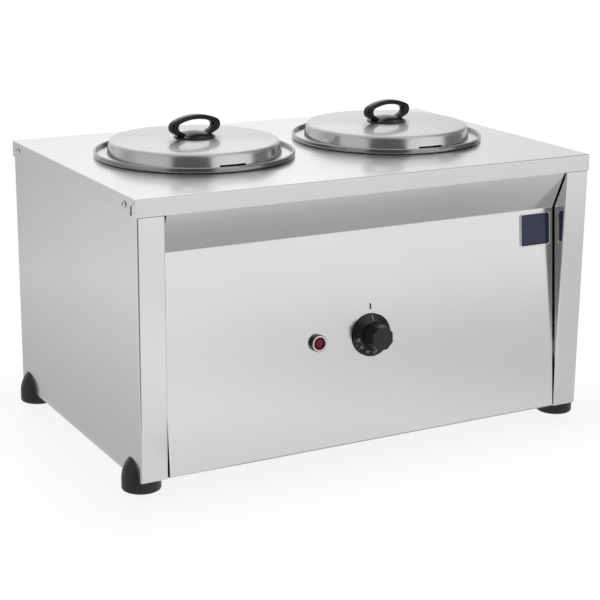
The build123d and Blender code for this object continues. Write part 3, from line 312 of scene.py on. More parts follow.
# Water tank: a deep pan with a rounded floor, hung under the cover by its flange.
# Pressed stainless with a dull inner skin, faintly clouded by hot water and scale.
TANK_DARK = (0.46, 0.455, 0.44, 1.0)
TANK_LIGHT = (0.60, 0.595, 0.58, 1.0)
tank_steel = satin_metal("tank_steel", ALONG_X, TANK_DARK, TANK_LIGHT, smooth=0.22, rough=0.36)
dress(tank_steel, "water_tank", "element_clips", "bulb_clips")

# Heating element: a bent tube lying in the water, held down by clips.
# Grey annealed alloy sheath, darkened by heat in soft bands.
SHEATH_DARK = (0.15, 0.145, 0.135, 1.0)
SHEATH_LIGHT = (0.30, 0.29, 0.27, 1.0)
sheath = satin_metal("element_sheath", ALONG_X, SHEATH_DARK, SHEATH_LIGHT, smooth=0.34, rough=0.50)
dress(sheath, "heating_element")

# Element fittings: threaded bushes, nuts and blades, with the earth lug and terminal screws to match.
# Turned brass, softly tarnished; the seals are punched black rubber rings.
BRASS_DARK = (0.56, 0.38, 0.14, 1.0)
BRASS_LIGHT = (0.74, 0.55, 0.25, 1.0)
RUBBER_DARK = (0.010, 0.010, 0.010, 1.0)
RUBBER_LIGHT = (0.024, 0.024, 0.023, 1.0)
brass = satin_metal("brass", ALONG_Z, BRASS_DARK, BRASS_LIGHT, smooth=0.22, rough=0.34)
dress(brass, "element_bushes", "element_nuts", "element_terminals", "earth_lug", "terminal_screws")
seal_rubber = moulded(
    "seal_rubber", RUBBER_DARK, RUBBER_LIGHT, smooth=0.6, rough=0.75, grain=1500.0, depth=0.04
)
dress(seal_rubber, "element_seals", "gland_seal")

# Thermostat: a moulded case behind the front panel, with blades, a spindle, a fine tube and a bulb.
# Dark brown phenolic case, brass blades, steel spindle and annealed copper tube.
PHENOLIC_DARK = (0.085, 0.045, 0.025, 1.0)
PHENOLIC_LIGHT = (0.140, 0.080, 0.045, 1.0)
COPPER_DARK = (0.60, 0.28, 0.16, 1.0)
COPPER_LIGHT = (0.76, 0.42, 0.27, 1.0)
phenolic = moulded(
    "brown_phenolic", PHENOLIC_DARK, PHENOLIC_LIGHT, smooth=0.38, rough=0.50, grain=1800.0, depth=0.04
)
copper = satin_metal("copper_tube", ALONG_Y, COPPER_DARK, COPPER_LIGHT, smooth=0.22, rough=0.34)
dress(phenolic, "thermostat_body")
dress(brass, "thermostat_tabs", "lamp_tabs")
dress(bright_zinc, "thermostat_spindle")
dress(copper, "thermostat_capillary", "thermostat_bulb")

# Wiring: a four-way terminal block, an earth stud on the bottom plate and the wires between the parts.
# Natural nylon block and coloured plastic sleeves over copper cores.
NYLON_DARK = (0.60, 0.58, 0.52, 1.0)
NYLON_LIGHT = (0.72, 0.70, 0.65, 1.0)
SLEEVES = {
    "brown_sleeve": ((0.10, 0.04, 0.02, 1.0), (0.15, 0.06, 0.03, 1.0), ("live_wire", "load_wire")),
    "blue_sleeve": ((0.02, 0.08, 0.26, 1.0), (0.03, 0.11, 0.34, 1.0), ("neutral_wire", "lamp_wires")),
    "green_sleeve": ((0.05, 0.22, 0.05, 1.0), (0.09, 0.32, 0.07, 1.0), ("earth_wire",)),
}
block_nylon = moulded(
    "block_nylon", NYLON_DARK, NYLON_LIGHT, smooth=0.38, rough=0.50, grain=1800.0, depth=0.04
)
dress(block_nylon, "terminal_block")
dress(bright_zinc, "terminal_block_screws", "earth_stud")
for name, (dark, light, wires) in SLEEVES.items():
    dress(moulded(name, dark, light, smooth=0.42, rough=0.55, grain=1800.0, depth=0.04), *wires)

# Cable gland: body and lock nut through the back panel, and a domed cap that squeezes the seal.
# Black moulded nylon; the cap carries finger ribs all round.
GLAND_SPOT = (200.0, 199.0, 76.0)
GLAND_RIBS = 24
RIB_DEPTH = 0.7
RIB_LEAST_RADIUS = 10.3
RIB_TOP = 9.0
GLAND_CAP = [
    (8.4, 6.0), (8.4, 0.0), (10.2, 0.0), (10.9, 0.6), (10.9, 8.6), (10.4, 9.4),
    (10.0, 10.6), (9.2, 11.9), (8.0, 12.6), (5.0, 12.77), (4.5, 12.3), (4.5, 6.0), (8.4, 6.0),
]


def ribbed(radius, height, angle):
    """Sinks the flutes between the ribs of the cap."""
    wave = 0.5 + 0.5 * math.cos(GLAND_RIBS * angle)
    return radius - RIB_DEPTH * wave * (radius > RIB_LEAST_RADIUS and 0 < height < RIB_TOP), height


gland_cap = bmesh.new()
turn(gland_cap, aim(GLAND_SPOT, (-1, 0, 0), (0, 1, 0)), GLAND_CAP, segments=192, shape=ribbed)
gland_piece = set_in("gland_cap_ribbed", gland_cap, black_plastic, "housing", "gland_cap")
dress(black_plastic, "gland_body", "gland_locknut")

# Top cover: a shallow tray with its edge turned down, dropped over the four walls and screwed at the
# sides with bright pan-heads. Satin stainless like the panels, a little duller, under a faint clear
# gloss.
COVER_DARK = (0.700, 0.698, 0.692, 1.0)
COVER_LIGHT = (0.750, 0.748, 0.742, 1.0)
COVER_GLOSS = 0.4
COVER_GLOSS_ROUGH = 0.10
COVER_SCREW_X = 300.0
COVER_SCREW_Y = (-165.0, 175.0)
COVER_SCREW_Z = 326.0
COVER_SCREW = {"radius": 2.0, "length": 8.0, "head": 4.5, "dome": 2.6}
cover_sheet = satin_metal("satin_sheet_cover", ALONG_X, COVER_DARK, COVER_LIGHT, smooth=0.24, rough=0.29)
shader_of(cover_sheet).inputs["Coat Weight"].default_value = COVER_GLOSS
shader_of(cover_sheet).inputs["Coat Roughness"].default_value = COVER_GLOSS_ROUGH
dress(cover_sheet, "top_cover")
cover_screws = bmesh.new()
for side in (-1, 1):
    for y in COVER_SCREW_Y:
        stand = aim((side * COVER_SCREW_X, y, COVER_SCREW_Z), (0, 1, 0), (side, 0, 0))
        pan_screw(cover_screws, stand, **COVER_SCREW)
set_in("cover_screws_cross", cover_screws, bright_zinc, "housing", "cover_screws")

# Panel screws: small pan-heads through the back panel, up into the bottom plate and into the
# thermostat's case behind the knob. Zinc-plated steel with a cross recess.
BACK_SCREW_X = 290.0
BACK_SCREW_Y = 194.0
BACK_SCREW_Z = (46.0, 166.0, 286.0)
PLATE_SCREW_X = (-180.0, 0.0, 180.0)
PLATE_SCREW_Y = (-183.0, 182.0)
PLATE_SCREW_Z = 16.0
PANEL_SCREW = {"radius": 1.75, "length": 7.0, "head": 3.6, "dome": 2.2}
PANEL_OUT = Vector((0.0, -0.996241, 0.0866297))
KNOB_SPOT = Vector((0.0, -183.8696, 144.0))
CASE_SCREW_X = 14.0
panel_screws = bmesh.new()
for side in (-1, 1):
    for z in BACK_SCREW_Z:
        stand = aim((side * BACK_SCREW_X, BACK_SCREW_Y, z), (1, 0, 0), (0, 1, 0))
        pan_screw(panel_screws, stand, **PANEL_SCREW)
    stand = aim(KNOB_SPOT + Vector((side * CASE_SCREW_X, 0, 0)), (1, 0, 0), PANEL_OUT)
    pan_screw(panel_screws, stand, **PANEL_SCREW)
for x in PLATE_SCREW_X:
    for y in PLATE_SCREW_Y:
        pan_screw(panel_screws, aim((x, y, PLATE_SCREW_Z), (1, 0, 0), (0, 0, -1)), **PANEL_SCREW)
set_in("panel_screws_cross", panel_screws, bright_zinc, "housing", "panel_screws")

# Pilot lamp: a black barrel through the panel, a bright pressed ring and a dark red lens.
# The lens is a moulded cup with a sunk ring round a gently domed disc.
LAMP_X = -72.0
LAMP_SPOT = KNOB_SPOT + Vector((LAMP_X, 0, 0))
LENS = [
    (0, 2.0), (7.5, 2.0), (7.5, 4.1), (7.2, 4.3), (6.6, 4.3), (6.2, 4.0), (6.0, 3.3),
    (5.75, 3.2), (5.5, 3.3), (5.3, 4.1), (5.0, 4.5), (4.4, 4.7), (3.0, 4.86), (1.5, 4.96), (0, 5.0),
]
LENS_DARK = (0.150, 0.006, 0.026, 1.0)
LENS_LIGHT = (0.230, 0.012, 0.044, 1.0)
LENS_GLINT = 0.25
CHROME_DARK = (0.76, 0.76, 0.76, 1.0)
CHROME_LIGHT = (0.86, 0.86, 0.86, 1.0)
red_lens = moulded("red_lens", LENS_DARK, LENS_LIGHT, smooth=0.10, rough=0.16, grain=600.0, depth=0.02)
shader_of(red_lens).inputs["Specular IOR Level"].default_value = LENS_GLINT
lens = bmesh.new()
turn(lens, aim(LAMP_SPOT, (1, 0, 0), PANEL_OUT), LENS)
set_in("lamp_lens_cup", lens, red_lens, "housing", "lamp_lens", sharp=60)
chrome = satin_metal("bright_ring", ALONG_Z, CHROME_DARK, CHROME_LIGHT, smooth=0.06, rough=0.12)
dress(chrome, "lamp_bezel")
dress(black_plastic, "lamp_body", "lamp_nut")

# Knob: a coned skirt with an eight-sided grip, pressed on the thermostat's spindle.
# Black thermoset moulding, satin from the tool, with its scale printed in pale grey on the skirt.
KNOB_BLACK = (0.004, 0.004, 0.004, 1.0)
KNOB_GREY = (0.009, 0.009, 0.008, 1.0)
PRINT_DARK = (0.50, 0.50, 0.49, 1.0)
PRINT_LIGHT = (0.66, 0.66, 0.64, 1.0)
PRINT_LIFT = 0.01
PRINT_THICK = 0.05
SKIRT_FOOT = Vector((25.5, 2.6))
SKIRT_TOP = Vector((16.5, 7.0))
SCALE_FIRST = 190
SCALE_STEP = 28.5
SCALE_NUMBERS = ("30", "40", "50", "60", "70", "80", "90")
NUMBER_HEIGHT = 3.5
NUMBER_REACH = 20.0
FONT_PER_HEIGHT = 1.4
POINTER_AT = 90
POINTER = {"width": 0.7, "start": -2.4, "end": 4.6}
NUMBER_TICK = {"width": 0.5, "start": 3.0, "end": 4.8}
HALF_TICK = {"width": 0.35, "start": 3.6, "end": 4.8}
knob_black = moulded(
    "knob_black", KNOB_BLACK, KNOB_GREY, smooth=0.24, rough=0.34, grain=1400.0, depth=0.03
)
dress(knob_black, "thermostat_knob")
knob_stand = aim(KNOB_SPOT, (1, 0, 0), PANEL_OUT)


def printed_bar(mesh, stand, width, start, end):
    """Thin printed bar along a stand's Y axis, sizes in mm."""
    corners = [(-width / 2, start), (width / 2, start), (width / 2, end), (-width / 2, end)]
    low = [mesh.verts.new(stand @ (Vector((x, y, PRINT_LIFT)) * MM)) for x, y in corners]
    high = [mesh.verts.new(stand @ (Vector((x, y, PRINT_LIFT + PRINT_THICK)) * MM)) for x, y in corners]
    skin(mesh, low, high)
    mesh.faces.new(high)
    mesh.faces.new(low[::-1])


def printed_number(mesh, stand, text):
    """Thin printed number centred on a stand, reading up its Y axis."""
    curve = bpy.data.curves.new("number", "FONT")
    curve.body = text
    curve.size = NUMBER_HEIGHT * FONT_PER_HEIGHT * MM
    curve.align_x = "CENTER"
    curve.align_y = "CENTER"
    curve.extrude = PRINT_THICK / 2 * MM
    holder = bpy.data.objects.new("number", curve)
    data = bpy.data.meshes.new_from_object(holder)
    data.transform(stand @ Matrix.Translation((0, 0, (PRINT_LIFT + PRINT_THICK / 2) * MM)))
    mesh.from_mesh(data)
    bpy.data.objects.remove(holder)
    bpy.data.curves.remove(curve)
    bpy.data.meshes.remove(data)


def on_skirt(degrees):
    """Stand on the coned skirt at the numbers' ring, its Y axis running down the slope."""
    slope = SKIRT_FOOT - SKIRT_TOP
    share = (NUMBER_REACH - SKIRT_TOP.x) / slope.x
    spot = Vector((0, NUMBER_REACH, SKIRT_TOP.y + slope.y * share)) * MM
    tilt = Matrix.Rotation(math.atan2(slope.y, slope.x), 4, "X")
    heading = Matrix.Rotation(math.radians(degrees - 90), 4, "Z")
    return knob_stand @ heading @ Matrix.Translation(spot) @ tilt


scale_print = bmesh.new()
printed_bar(scale_print, on_skirt(POINTER_AT), **POINTER)
for step, number in enumerate(SCALE_NUMBERS):
    heading = SCALE_FIRST + SCALE_STEP * step
    printed_bar(scale_print, on_skirt(heading), **NUMBER_TICK)
    printed_number(scale_print, on_skirt(heading), number)
    if step:
        printed_bar(scale_print, on_skirt(heading - SCALE_STEP / 2), **HALF_TICK)
pale_print = moulded(
    "pale_print", PRINT_DARK, PRINT_LIGHT, smooth=0.5, rough=0.6, grain=3000.0, depth=0.01
)
set_in("knob_scale", scale_print, pale_print, "dial")

# Index mark: a short bar over the knob that its line is set against.
# Black ink screen-printed on the front panel.
INDEX_BAR = {"width": 2.2, "start": 30.5, "end": 37.5}
INK_DARK = (0.010, 0.010, 0.011, 1.0)
INK_LIGHT = (0.020, 0.020, 0.021, 1.0)
index_mark = bmesh.new()
printed_bar(index_mark, knob_stand, **INDEX_BAR)
index_ink = moulded("index_ink", INK_DARK, INK_LIGHT, smooth=0.45, rough=0.55, grain=3000.0, depth=0.01)
set_in("index_mark", index_mark, index_ink, "housing")

# Badge: a blank plate under the front panel's bend, stuck on.
# Pressed bright metal with a raised edge round a field of dark blue enamel, left plain.
BADGE_SPOT = Vector((237.5, -175.1739, 244.0))
BADGE_SIZE = {"half_x": 22.5, "half_y": 21.0, "corner": 4.0}
BADGE_EDGE = [(0.0, 0.0), (0.0, 0.8), (0.15, 1.05), (0.4, 1.2), (1.2, 1.2), (1.45, 1.05), (1.5, 0.8)]
FIELD_EDGE = [(1.5, 0.75), (1.8, 0.88), (2.6, 0.97), (5.0, 1.05), (10.0, 1.1)]
LEAST_CORNER = 0.5
CORNER_STEPS = 8
ENAMEL_DARK = (0.012, 0.015, 0.062, 1.0)
ENAMEL_LIGHT = (0.020, 0.025, 0.095, 1.0)


def rounded_outline(half_x, half_y, corner):
    """Points of a rounded rectangle in mm, anticlockwise."""
    points = []
    for quarter, (x, y) in enumerate(((1, 1), (-1, 1), (-1, -1), (1, -1))):
        for step in range(CORNER_STEPS + 1):
            angle = math.pi / 2 * (quarter + step / CORNER_STEPS)
            points.append((
                x * (half_x - corner) + corner * math.cos(angle),
                y * (half_y - corner) + corner * math.sin(angle),
            ))
    return points


def stepped_plate(mesh, stand, steps, half_x, half_y, corner):
    """Skin of a rounded plate from (inset, height) steps in mm; returns its rings."""
    rings = []
    for inset, height in steps:
        outline = rounded_outline(half_x - inset, half_y - inset, max(corner - inset, LEAST_CORNER))
        rings.append([mesh.verts.new(stand @ (Vector((x, y, height)) * MM)) for x, y in outline])
    for lower, upper in zip(rings, rings[1:]):
        skin(mesh, lower, upper)
    return rings


badge_stand = aim(BADGE_SPOT, (1, 0, 0), PANEL_OUT)
badge_frame = bmesh.new()
rings = stepped_plate(badge_frame, badge_stand, BADGE_EDGE, **BADGE_SIZE)
badge_frame.faces.new(rings[0][::-1])
badge_frame.faces.new(rings[-1])
set_in("badge_frame", badge_frame, chrome, "housing", "badge_plate")
badge_field = bmesh.new()
rings = stepped_plate(badge_field, badge_stand, FIELD_EDGE, **BADGE_SIZE)
badge_field.faces.new(rings[-1])
enamel = moulded(
    "badge_enamel", ENAMEL_DARK, ENAMEL_LIGHT, smooth=0.12, rough=0.20, grain=500.0, depth=0.01
)
set_in("badge_field", badge_field, enamel, "housing", "badge_plate")

# Pots: two straight-walled insets hung in the cover by a beaded rim.
# Spun stainless, polished on the lathe, so its gloss runs in fine rings round the axis; the bead is
# the same steel painted a darker shade than the wall, a painted shade for the dark reflections along it.
POT_X = 135.0
POT_Y = 11.0
POTS = (("left", -POT_X), ("right", POT_X))
POT_DARK = (0.58, 0.578, 0.572, 1.0)
POT_LIGHT = (0.66, 0.658, 0.652, 1.0)
RIM_PAINTED_SHADE_DARK = (0.33, 0.328, 0.325, 1.0)
RIM_PAINTED_SHADE_LIGHT = (0.40, 0.398, 0.395, 1.0)
LATHE_RINGS = 700.0
LATHE_CLOUD = 14.0
LATHE_STRETCH = 0.35
LATHE_STRENGTH = 0.03
LATHE_DEPTH = 0.02


def spun_steel(name, middle_x, dark, light, smooth, rough):
    """Lathe-polished steel: rings of gloss round an upright axis and a stretched highlight."""
    material = new_finish(name, Metallic=1.0, Anisotropic=LATHE_STRETCH)
    shader = shader_of(material)
    across = place(material, (1, 1, 0), (-middle_x * MM, -POT_Y * MM, 0))
    reach = add_node(material, "ShaderNodeVectorMath", operation="LENGTH")
    wire(material, across, reach.inputs[0])
    rings = add_node(
        material, "ShaderNodeTexNoise", noise_dimensions="1D", Scale=LATHE_RINGS, Detail=2.0
    )
    wire(material, reach.outputs["Value"], rings.inputs["W"])
    clouds = noise(material, place(material), LATHE_CLOUD)
    wire(material, tint(material, clouds, dark, light), shader.inputs["Base Color"])
    wire(material, spread(material, rings.outputs["Fac"], smooth, rough), shader.inputs["Roughness"])
    bump(material, rings.outputs["Fac"], LATHE_STRENGTH, LATHE_DEPTH)
    tangent = add_node(material, "ShaderNodeTangent", direction_type="RADIAL", axis="Z")
    wire(material, tangent.outputs["Tangent"], shader.inputs["Tangent"])
    return material


for side, middle_x in POTS:
    pot_steel = spun_steel(f"pot_steel_{side}", middle_x, POT_DARK, POT_LIGHT, smooth=0.10, rough=0.18)
    dress(pot_steel, f"{side}_pot", f"{side}_pot_base")
    # The bead's darker colour is painted shade, not a different steel.
    rim_painted_shade_steel = spun_steel(f"rim_painted_shade_steel_{side}", middle_x, RIM_PAINTED_SHADE_DARK, RIM_PAINTED_SHADE_LIGHT, smooth=0.10, rough=0.18)
    dress(rim_painted_shade_steel, f"{side}_pot_rim")

# Lids: a low dome on a flat flange that drops inside the pot's bead, notched at the front for a ladle.
# Spun from thin stainless, lathe-polished, and duller on the dome under a clear gloss; a wide-headed
# screw holds the handle from inside.
LID_DARK = (0.60, 0.598, 0.592, 1.0)
LID_LIGHT = (0.66, 0.658, 0.652, 1.0)
DOME_EDGE = (0.350, 0.354)
DOME_DULLING = 0.30
DOME_GLOSS = 0.7
DOME_GLOSS_ROUGH = 0.06


def maths(owner, operation, first, second):
    """Arithmetic on two values, each a number or an output."""
    node = add_node(owner, "ShaderNodeMath", operation=operation)
    for value, socket in zip((first, second), node.inputs):
        feed(owner, value, socket)
    return node.outputs["Value"]


def dull_dome(material):
    """Dulls a lid's polish above the shoulder and lays a clear gloss over it there."""
    shader = shader_of(material)
    heights = add_node(material, "ShaderNodeSeparateXYZ")
    wire(material, place(material), heights.inputs["Vector"])
    polish = shader.inputs["Roughness"].links[0].from_socket
    dulling = spread(material, heights.outputs["Z"], 0.0, DOME_DULLING, *DOME_EDGE)
    wire(material, maths(material, "ADD", polish, dulling), shader.inputs["Roughness"])
    gloss = spread(material, heights.outputs["Z"], 0.0, DOME_GLOSS, *DOME_EDGE)
    wire(material, gloss, shader.inputs["Coat Weight"])
    shader.inputs["Coat Roughness"].default_value = DOME_GLOSS_ROUGH


for side, middle_x in POTS:
    lid_steel = spun_steel(f"lid_steel_{side}", middle_x, LID_DARK, LID_LIGHT, smooth=0.12, rough=0.18)
    dull_dome(lid_steel)
    dress(lid_steel, f"{side}_lid")
    dress(bright_zinc, f"{side}_lid_screw")

# Handles: a ridged loop standing on a round domed base, one on each lid.
# Black thermoset moulding with a soft gloss; two grooves run round each face of the loop.
HANDLE_BLACK = (0.004, 0.004, 0.004, 1.0)
HANDLE_GREY = (0.010, 0.010, 0.010, 1.0)
HANDLE_TURN = math.radians(8.0)
CROWN_Z = 357.5
LOOP_MIDDLE = Vector((0, 12.4))
LOOP_STEPS = 120
BEND_STEPS = 16
ARCH_STEPS = 24
HAIR = 1e-9
LOOP_OUTSIDE = {
    "foot": 17.0, "foot_rise": 0.0, "reach": 44.0, "reach_rise": 12.4, "top": 27.0, "corner": 8.0,
}
LOOP_INSIDE = {
    "foot": 12.0, "foot_rise": 4.0, "reach": 31.0, "reach_rise": 13.2, "top": 21.5, "corner": 5.0,
}
LOOP_SECTION = [
    (0.00, 3.1), (0.04, 4.0), (0.10, 4.6), (0.18, 4.9), (0.28, 5.0), (0.33, 4.9), (0.37, 4.3),
    (0.42, 4.2), (0.47, 4.6), (0.53, 5.0), (0.62, 5.0), (0.67, 4.9), (0.71, 4.3), (0.76, 4.2),
    (0.81, 4.6), (0.87, 4.9), (0.93, 4.6), (0.98, 3.9), (1.00, 3.1),
]
BASE_PROFILE = [
    (0, 0), (24.4, 0), (25.0, 0.5), (25.0, 1.2), (24.6, 1.7), (23.4, 2.0), (21.0, 2.9), (17.0, 4.4),
    (13.0, 5.6), (9.0, 6.5), (5.0, 7.1), (2.0, 7.35), (0, 7.4),
]


def arc(middle, radius, first, last, steps, start=0):
    """Points along an arc between two angles."""
    points = []
    for step in range(start, steps + 1):
        angle = first + (last - first) * step / steps
        points.append(middle + radius * Vector((math.cos(angle), math.sin(angle))))
    return points


def loop_outline(foot, foot_rise, reach, reach_rise, top, corner):
    """Right half of the loop's outline in mm: flat foot, slanting side, round corner, arched top."""
    sag = top - reach_rise
    arch = (reach * reach + sag * sag) / (2 * sag)
    arch_foot = Vector((0, top - arch))
    along = Vector((reach - foot, reach_rise - foot_rise)).normalized()
    inward = Vector((-along.y, along.x))
    start = Vector((foot, foot_rise)) + corner * inward
    lead = along.dot(start - arch_foot)
    middle = start + along * (
        math.sqrt(lead * lead - (start - arch_foot).length_squared + (arch - corner) ** 2) - lead
    )
    first = math.atan2(-inward.y, -inward.x)
    last = math.atan2(middle.y - arch_foot.y, middle.x)
    points = [Vector((0, foot_rise)), Vector((foot, foot_rise))]
    points += arc(middle, corner, first, last, BEND_STEPS)
    return points + arc(arch_foot, arch, last, math.pi / 2, ARCH_STEPS, start=1)


def reach_along(outline, heading):
    """Where a ray from the loop's middle meets the right half of an outline."""
    across = Vector((-heading.y, heading.x))
    for near, far in zip(outline, outline[1:]):
        low = across.dot(near - LOOP_MIDDLE)
        high = across.dot(far - LOOP_MIDDLE)
        if low <= HAIR <= high + 2 * HAIR and high > low:
            spot = near + (far - near) * (-low / (high - low))
            if heading.dot(spot - LOOP_MIDDLE) > 0:
                return spot
    return outline[-1]


handle_black = moulded(
    "handle_black", HANDLE_BLACK, HANDLE_GREY, smooth=0.20, rough=0.28, grain=900.0, depth=0.02
)
outside = loop_outline(**LOOP_OUTSIDE)
inside = loop_outline(**LOOP_INSIDE)
for side, middle_x in POTS:
    stand = aim((middle_x, POT_Y, CROWN_Z), (math.cos(HANDLE_TURN), math.sin(HANDLE_TURN), 0), (0, 0, 1))
    handle = bmesh.new()
    sections = []
    for step in range(LOOP_STEPS):
        angle = 2 * math.pi * step / LOOP_STEPS - math.pi / 2
        mirror = 1 if math.cos(angle) >= 0 else -1
        heading = Vector((abs(math.cos(angle)), math.sin(angle)))
        inner = reach_along(inside, heading)
        outer = reach_along(outside, heading)
        section = []
        for way, rows in ((1, LOOP_SECTION), (-1, LOOP_SECTION[::-1])):
            for share, depth in rows:
                spot = inner + (outer - inner) * share
                corner = Vector((mirror * spot.x, way * depth, spot.y)) * MM
                section.append(handle.verts.new(stand @ corner))
        sections.append(section)
    for section, after in zip(sections, sections[1:] + sections[:1]):
        skin(handle, section, after)
    turn(handle, stand, BASE_PROFILE, segments=96)
    piece = set_in(f"{side}_handle", handle, handle_black, f"lid_{side}", f"{side}_lid_handle", sharp=50)

# Studio floor: a wide plain white sheet with a slight gloss, lying under the feet.
# The lens sees it white with the object's soft shadow; polished metal sees it white too, darkened by
# the painted shades below: a painted shadow round the object and painted shade patches behind, beside
# and in front of it, which show only in reflections. An X or Y is in metres from the object's middle.
FLOOR_RADIUS = 14.0
FLOOR_WHITE = (0.82, 0.82, 0.82, 1.0)
FLOOR_ROUGH = 0.15
FLOOR_IOR = 1.5
GLOW_WHITE = (1.0, 1.0, 1.0, 1.0)
BOX_HALF = (0.300, 0.195, 0.0)
NOTHING = (0.0, 0.0, 0.0)
SHADOW_WHITENED = 0.86
SHADOW_EDGE = (0.0, 0.14)
# Painted shade patches: how dark each is and where it fades, seen only in reflections.
ROUND_SHADE = 0.18
ROUND_EDGE = (0.0, 0.6)
BACK_SHADE = 0.45
BACK_EDGE = (0.1, 2.2)
BACK_LEAST_X = 0.1
RIGHT_SHADE = 0.30
RIGHT_X = (-0.15, 0.45)
RIGHT_Y = (-1.8, -0.9)
LEFT_SHADE = 0.46
LEFT_X = (-0.90, -0.32)
LEFT_END_X = (-0.32, -0.29)
CORNER_SHADE = 0.78
CORNER_WAY = (0.974, 0.227, 0.0)
CORNER_EDGE = (-0.40, -0.28)
CORNER_Y = (-0.45, -0.30)
FRONT_SHADE = 0.57
FRONT_LEFT_X = (-0.30, -0.16)
FRONT_RIGHT_X = (0.33, 0.48)
FRONT_RIGHT_REST = 0.85
FRONT_FAR_Y = (-0.40, -0.34)
FRONT_NEAR_Y = (-0.20, -0.12)
FRONT_SHEEN = (0.06, 0.34)
floor_mesh = bmesh.new()
bmesh.ops.create_circle(floor_mesh, cap_ends=True, segments=96, radius=FLOOR_RADIUS)
floor = bpy.data.objects.new("floor", bpy.data.meshes.new("floor"))
floor_mesh.to_mesh(floor.data)
floor_mesh.free()
bpy.context.scene.collection.objects.link(floor)
floor_paint = new_finish("floor_paint", Base_Color=FLOOR_WHITE, Roughness=FLOOR_ROUGH, IOR=FLOOR_IOR)
floor.data.materials.append(floor_paint)


def vector_maths(owner, operation, first, second=NOTHING):
    """Arithmetic on vectors, the second one fixed."""
    node = add_node(owner, "ShaderNodeVectorMath", operation=operation)
    wire(owner, first, node.inputs[0])
    node.inputs[1].default_value = second
    return node


def product(owner, first, *others):
    """Several outputs multiplied together."""
    for other in others:
        first = maths(owner, "MULTIPLY", first, other)
    return first


def fade_in(value, edge, shade=1.0):
    """Painted shade on the floor that grows from nothing across an edge."""
    return spread(floor_paint, value, 0.0, shade, *edge)


def fade_out(value, edge, shade=1.0, rest=0.0):
    """Painted shade on the floor that falls to a rest across an edge."""
    return spread(floor_paint, value, shade, rest, *edge)


ground = place(floor_paint)
beyond = vector_maths(floor_paint, "ABSOLUTE", ground).outputs["Vector"]
beyond = vector_maths(floor_paint, "SUBTRACT", beyond, BOX_HALF).outputs["Vector"]
beyond = vector_maths(floor_paint, "MAXIMUM", beyond, NOTHING).outputs["Vector"]
away = vector_maths(floor_paint, "LENGTH", beyond).outputs["Value"]
floor_spot = add_node(floor_paint, "ShaderNodeSeparateXYZ")
wire(floor_paint, ground, floor_spot.inputs["Vector"])
floor_x = floor_spot.outputs["X"]
floor_y = floor_spot.outputs["Y"]
sideways = maths(floor_paint, "MAXIMUM", maths(floor_paint, "ABSOLUTE", floor_x, 0.0), BACK_LEAST_X)
backward = maths(floor_paint, "DIVIDE", floor_y, sideways)
cornerward = vector_maths(floor_paint, "DOT_PRODUCT", ground, CORNER_WAY).outputs["Value"]
# The painted front shade fades out at shallow angles by a Fresnel share, like a sheen laid over it.
sheen = add_node(floor_paint, "ShaderNodeFresnel", IOR=FLOOR_IOR).outputs["Fac"]
at_right = product(floor_paint, fade_in(floor_x, RIGHT_X, RIGHT_SHADE), fade_in(floor_y, RIGHT_Y))
at_left = product(floor_paint, fade_in(floor_x, LEFT_X, LEFT_SHADE), fade_out(floor_x, LEFT_END_X))
at_corner = product(
    floor_paint, fade_out(cornerward, CORNER_EDGE, CORNER_SHADE), fade_out(floor_y, CORNER_Y)
)
at_front = product(
    floor_paint,
    fade_in(floor_x, FRONT_LEFT_X, FRONT_SHADE),
    fade_out(sheen, FRONT_SHEEN),
    fade_out(floor_x, FRONT_RIGHT_X, rest=FRONT_RIGHT_REST),
    fade_in(floor_y, FRONT_FAR_Y),
    fade_out(floor_y, FRONT_NEAR_Y),
)
# The painted shades together darken the floor's white glow, in reflections only.
painted_shade = fade_out(away, ROUND_EDGE, ROUND_SHADE)
for shade in (fade_in(backward, BACK_EDGE, BACK_SHADE), at_right, at_left, at_corner, at_front):
    painted_shade = maths(floor_paint, "MAXIMUM", painted_shade, shade)
ray = add_node(floor_paint, "ShaderNodeLightPath").outputs
seen = product(
    floor_paint, ray["Is Camera Ray"], spread(floor_paint, away, SHADOW_WHITENED, 1.0, *SHADOW_EDGE)
)
mirrored = maths(floor_paint, "MAXIMUM", ray["Is Glossy Ray"], ray["Is Transmission Ray"])
mirrored_painted_shade = product(floor_paint, mirrored, painted_shade)
glow = add_node(floor_paint, "ShaderNodeEmission", Color=GLOW_WHITE)
wire(floor_paint, maths(floor_paint, "SUBTRACT", 1.0, mirrored_painted_shade), glow.inputs["Strength"])
blend = add_node(floor_paint, "ShaderNodeMixShader")
wire(floor_paint, maths(floor_paint, "ADD", seen, mirrored), blend.inputs["Fac"])
wire(floor_paint, shader_of(floor_paint).outputs["BSDF"], blend.inputs[1])
wire(floor_paint, glow.outputs["Emission"], blend.inputs[2])
wire(floor_paint, blend.outputs["Shader"], floor_paint.node_tree.nodes["Material Output"].inputs["Surface"])

# Studio light: a bright tent of white cloth, with a white wall behind the object and a duller roof.
# It is open towards the lens and at the right, so that polished curves show dark bands between pale
# ones; past the floor's edge the lens sees plain white.
TENT_MOUTH = (-0.4829, -0.8757, 0.0)
TENT_RIGHT = (0.8757, -0.4829, 0.0)
TENT_PEAK = 1.3
TENT = [
    (-180, 0.68), (-150, 0.68), (-120, 0.55), (-95, 0.36), (-70, 0.50), (-45, 0.52), (-28, 0.48),
    (-24, 0.10), (24, 0.10), (28, 0.72), (60, 0.76), (80, 0.72), (90, 0.16), (140, 0.16), (150, 0.62),
    (180, 0.68),
]
WALL_WHITE = (1.0, 1.0, 1.0, 1.0)
WALL_FOOT = (0.155, 0.220)
WALL_FRONT = (-0.90, -0.55)
WALL_RIGHT = (0.02, 0.12)
WALL_LEFT = (-0.16, -0.04)
WALL_LEFT_REST = 0.7
ROOF_GREY = (0.60, 0.60, 0.60, 1.0)
ROOF_EDGE = (0.70, 0.95)
